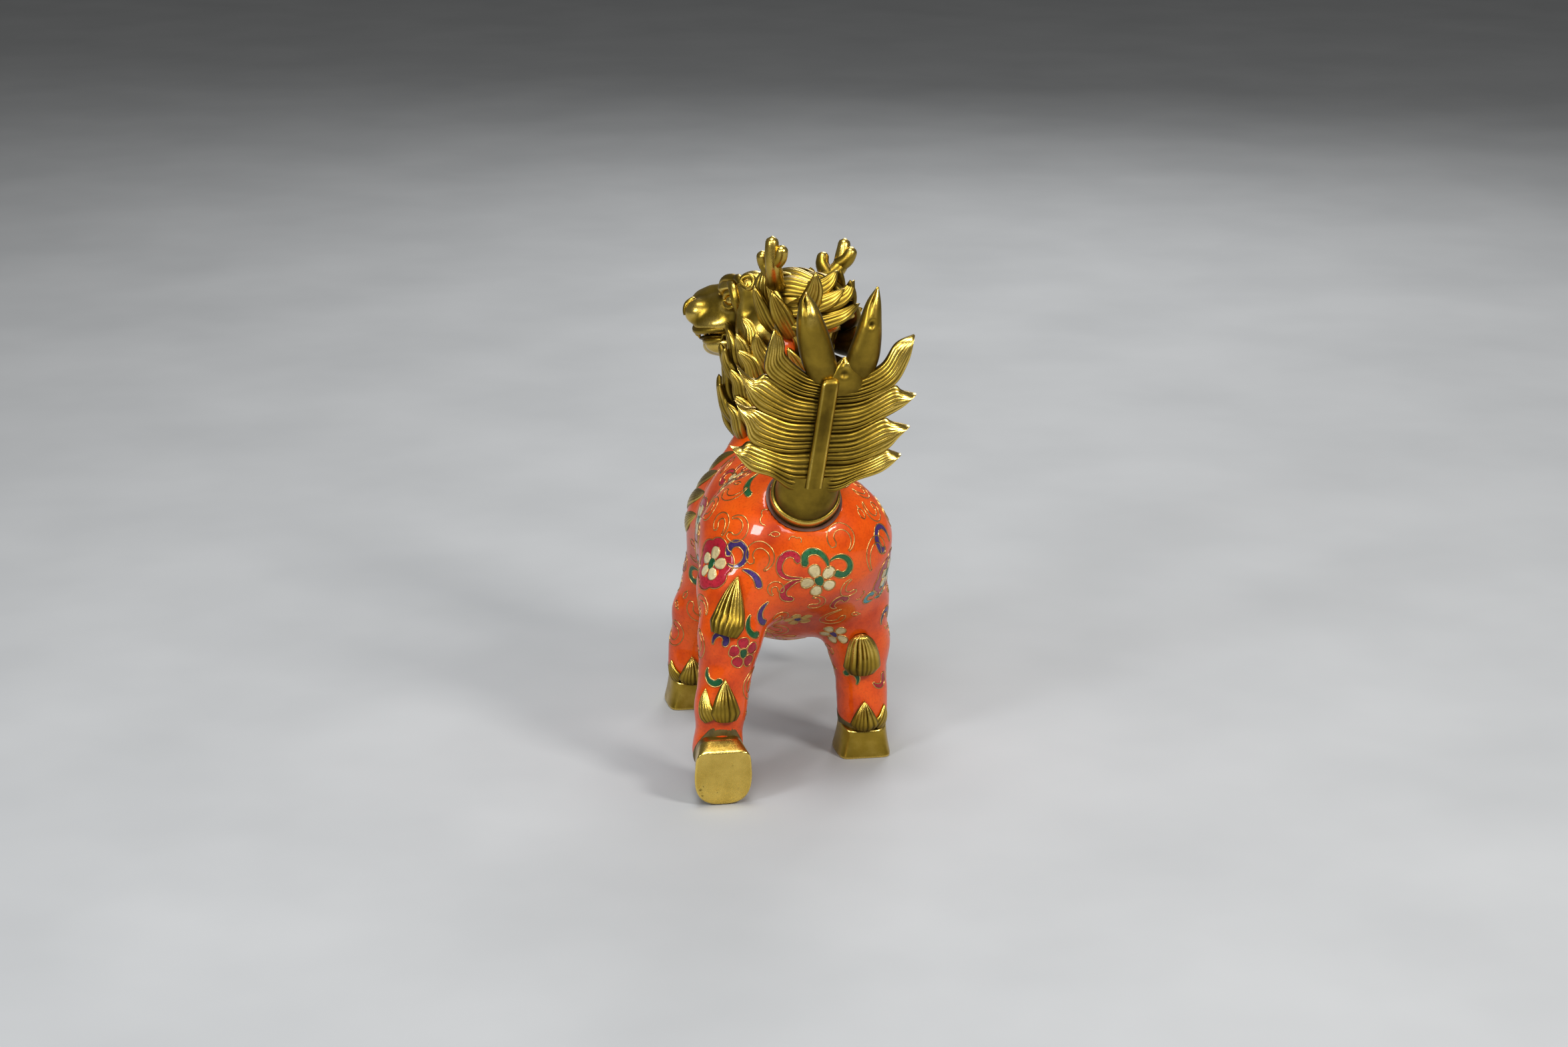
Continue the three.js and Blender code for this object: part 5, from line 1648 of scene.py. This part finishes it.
def gilt_material():
    """Antique gilt casting: dark olive in its recesses, rubbed bright on its crests, faintly pitted; the
    same number also carries a few painted highlights.
    """
    looks = Looks("gilt_casting")
    wear_and_highlight_level = looks.nodes.new("ShaderNodeAttribute")
    wear_and_highlight_level.attribute_name = "wear_and_highlight"
    blotches = looks.noise(90, 5, 0.6)
    grain = looks.noise(1500, 3, 0.6)
    shift = looks.math_node("MULTIPLY_ADD", blotches, 0.5, -0.25)
    level = looks.math_node("ADD", wear_and_highlight_level.outputs["Fac"], shift)
    colour = looks.ramp(level, [
        (0.05, (0.04, 0.027, 0.005)),
        (0.3, (0.14, 0.09, 0.012)),
        (0.58, (0.4, 0.262, 0.032)),
        (0.92, (0.9, 0.64, 0.15)),
    ])
    looks.links.new(colour, looks.surface["Base Color"])
    looks.surface["Metallic"].default_value = 1.0
    rough = looks.ramp(level, [(0.1, 0.5), (0.5, 0.34), (1.0, 0.22)])
    speckled = looks.math_node("MULTIPLY_ADD", grain, 0.16, rough)
    looks.links.new(looks.math_node("SUBTRACT", speckled, 0.08), looks.surface["Roughness"])
    fine = looks.noise(420, 6, 0.62)
    broad = looks.noise(95, 3, 0.5)
    looks.bump(looks.math_node("MULTIPLY_ADD", broad, 3.2, fine), 0.26, 0.0003)
    return looks.material


def enamel_material(name, deep, main, pale, speckle=0.5):
    """Glassy enamel: mottled under a clear polished face, with small grains of a darker tone."""
    looks = Looks(name)
    base = looks.ramp(looks.noise(55, 5, 0.6), [(0.3, deep), (0.5, main), (0.72, pale)])
    spots = looks.ramp(looks.noise(1100, 2, 0.5), [(0.5, 0), (0.68, speckle)])
    darker = tuple(c * 0.45 for c in deep)
    looks.links.new(looks.mixed(spots, base, darker), looks.surface["Base Color"])
    looks.surface["Roughness"].default_value = 0.34
    looks.surface["Specular IOR Level"].default_value = 0.12
    looks.surface["Coat Weight"].default_value = 0.5
    looks.surface["Coat Roughness"].default_value = 0.05
    looks.surface["IOR"].default_value = 1.52
    looks.bump(looks.noise(160, 3, 0.5), 0.12, 0.0004)
    return looks.material


def wire_material():
    looks = Looks("copper_gold_wire")
    looks.two_toned(260, 4, 0.6, (0.38, 0.19, 0.05), (0.76, 0.46, 0.15))
    looks.surface["Metallic"].default_value = 1.0
    looks.surface["Roughness"].default_value = 0.32
    return looks.material


def patina_and_shade_band_material():
    # Dark olive tones: partly patina, partly painted shade.
    looks = Looks("dark_band_patina_and_painted_shade")
    looks.two_toned(240, 5, 0.6, (0.08, 0.06, 0.02), (0.2, 0.15, 0.05))
    looks.surface["Metallic"].default_value = 0.6
    looks.surface["Roughness"].default_value = 0.5
    return looks.material


def seat_shade_rim_material():
    # Near-black brown tones: painted shade for the gap round the tail's collar.
    looks = Looks("dark_rim_painted_shade")
    looks.two_toned(200, 5, 0.6, (0.045, 0.012, 0.005), (0.12, 0.035, 0.012))
    looks.surface["Roughness"].default_value = 0.5
    return looks.material


def floor_material():
    looks = Looks("pale_floor")
    looks.two_toned(9, 3, 0.5, (0.36, 0.37, 0.38), (0.4, 0.41, 0.42))
    looks.surface["Roughness"].default_value = 0.85
    return looks.material


# Stage
FLOOR_SIZE = 14
LIGHTS_AIM = (0, 0, 0.1)
# Each light's place, power, size and colour
LIGHTS = {
    "key": ((-0.75, 0.95, 0.95), 12.5, 0.28, (1, 0.97, 0.93)),
    "fill": ((0.95, 0.8, 0.75), 6.5, 0.26, (0.96, 0.98, 1)),
    "front": ((-0.4, -1.1, 0.9), 8, 0.5, (1, 1, 1)),
    "top": ((0.1, 0.1, 1.3), 9, 0.45, (1, 1, 1)),
    "behind_camera": ((0.3, 1.35, 1.2), 8, 0.5, (1, 1, 1)),
}
WORLD_COLOUR = (0.51, 0.51, 0.5)
WORLD_STRENGTH = 0.23
# The photograph's view: round from the front and up in degrees, and away in metres
CAMERA_AROUND = 171
CAMERA_UP = 17
CAMERA_AWAY = 1.27
LOOKED_AT_HEIGHT = 0.095


def aimed(made, where, aim):
    """An object put in the scene and turned towards a place."""
    bpy.context.scene.collection.objects.link(made)
    made.location = where
    made.rotation_euler = (Vector(aim) - Vector(where)).to_track_quat("-Z", "Y").to_euler()


def make_stage():
    bpy.ops.mesh.primitive_plane_add(size=FLOOR_SIZE)
    floor = bpy.context.object
    floor.name = "floor"
    floor.data.materials.append(floor_material())


def make_lights():
    for name, (where, energy, size, colour) in LIGHTS.items():
        lamp = bpy.data.lights.new(name, "AREA")
        lamp.energy = energy
        lamp.size = size
        lamp.color = colour
        aimed(bpy.data.objects.new(name, lamp), where, LIGHTS_AIM)
    world = bpy.data.worlds.new("studio")
    bpy.context.scene.world = world
    world.use_nodes = True
    background = world.node_tree.nodes["Background"].inputs
    background["Color"].default_value = (*WORLD_COLOUR, 1)
    background["Strength"].default_value = WORLD_STRENGTH


def make_camera():
    target = Vector((SHIFT[0] / MILLIMETRES, SHIFT[1] / MILLIMETRES, LOOKED_AT_HEIGHT))
    azimuth = math.radians(CAMERA_AROUND)
    elevation = math.radians(CAMERA_UP)
    back = Vector((
        math.sin(azimuth) * math.cos(elevation),
        -math.cos(azimuth) * math.cos(elevation),
        math.sin(elevation),
    ))
    lens = bpy.data.cameras.new("camera")
    lens.lens = 70
    lens.sensor_width = 36
    camera = bpy.data.objects.new("camera", lens)
    aimed(camera, target + back * CAMERA_AWAY, target)
    bpy.context.scene.camera = camera


# Each enamel's name, its deep, main and pale tone, and how strong its darker grains are
ORANGE_TONES = ("orange_enamel", (0.46, 0.036, 0.0015), (0.69, 0.075, 0.002), (0.76, 0.108, 0.004), 0.22)
INLAID_TONES = {
    "crimson": ("crimson_enamel", (0.24, 0.005, 0.012), (0.4, 0.012, 0.028), (0.5, 0.03, 0.05)),
    "violet": ("violet_enamel", (0.03, 0.013, 0.075), (0.052, 0.024, 0.13), (0.1, 0.05, 0.2)),
    "green": ("green_enamel", (0.006, 0.04, 0.012), (0.012, 0.09, 0.03), (0.03, 0.16, 0.06)),
    "turquoise": ("turquoise_enamel", (0.012, 0.1, 0.12), (0.03, 0.23, 0.26), (0.08, 0.36, 0.37)),
    "cream": ("cream_enamel", (0.4, 0.3, 0.14), (0.6, 0.5, 0.26), (0.7, 0.62, 0.4), 0.3),
    # The belly's cell: green enamel with its tones darkened as painted shade.
    "night": ("green_enamel_darkened_as_painted_shade", (0.004, 0.012, 0.008), (0.01, 0.028, 0.018), (0.02, 0.05, 0.03)),
    "yellow": ("yellow_enamel", (0.38, 0.2, 0.03), (0.58, 0.36, 0.06), (0.66, 0.48, 0.14), 0.3),
}
GILT = gilt_material()
BAND = patina_and_shade_band_material()
ENAMELS = {name: enamel_material(*tones) for name, tones in INLAID_TONES.items()}

skin_spots = make_body(enamel_material(*ORANGE_TONES))
make_inlay(skin_spots, ENAMELS, wire_material())
make_seat_rim(seat_shade_rim_material())
for foot_name in FEET:
    make_hoof(foot_name, GILT)
    make_hoof_band(foot_name, BAND)
make_plume(GILT)
make_head(GILT)
make_mane(GILT)
for tuft_name, tuft_parts in TUFTS.items():
    make_tuft(tuft_name, GILT, tuft_parts)
make_shoulder_flame(1, GILT)
make_shoulder_flame(-1, GILT)

make_stage()
make_lights()
make_camera()
bpy.context.scene.view_settings.view_transform = "Standard"
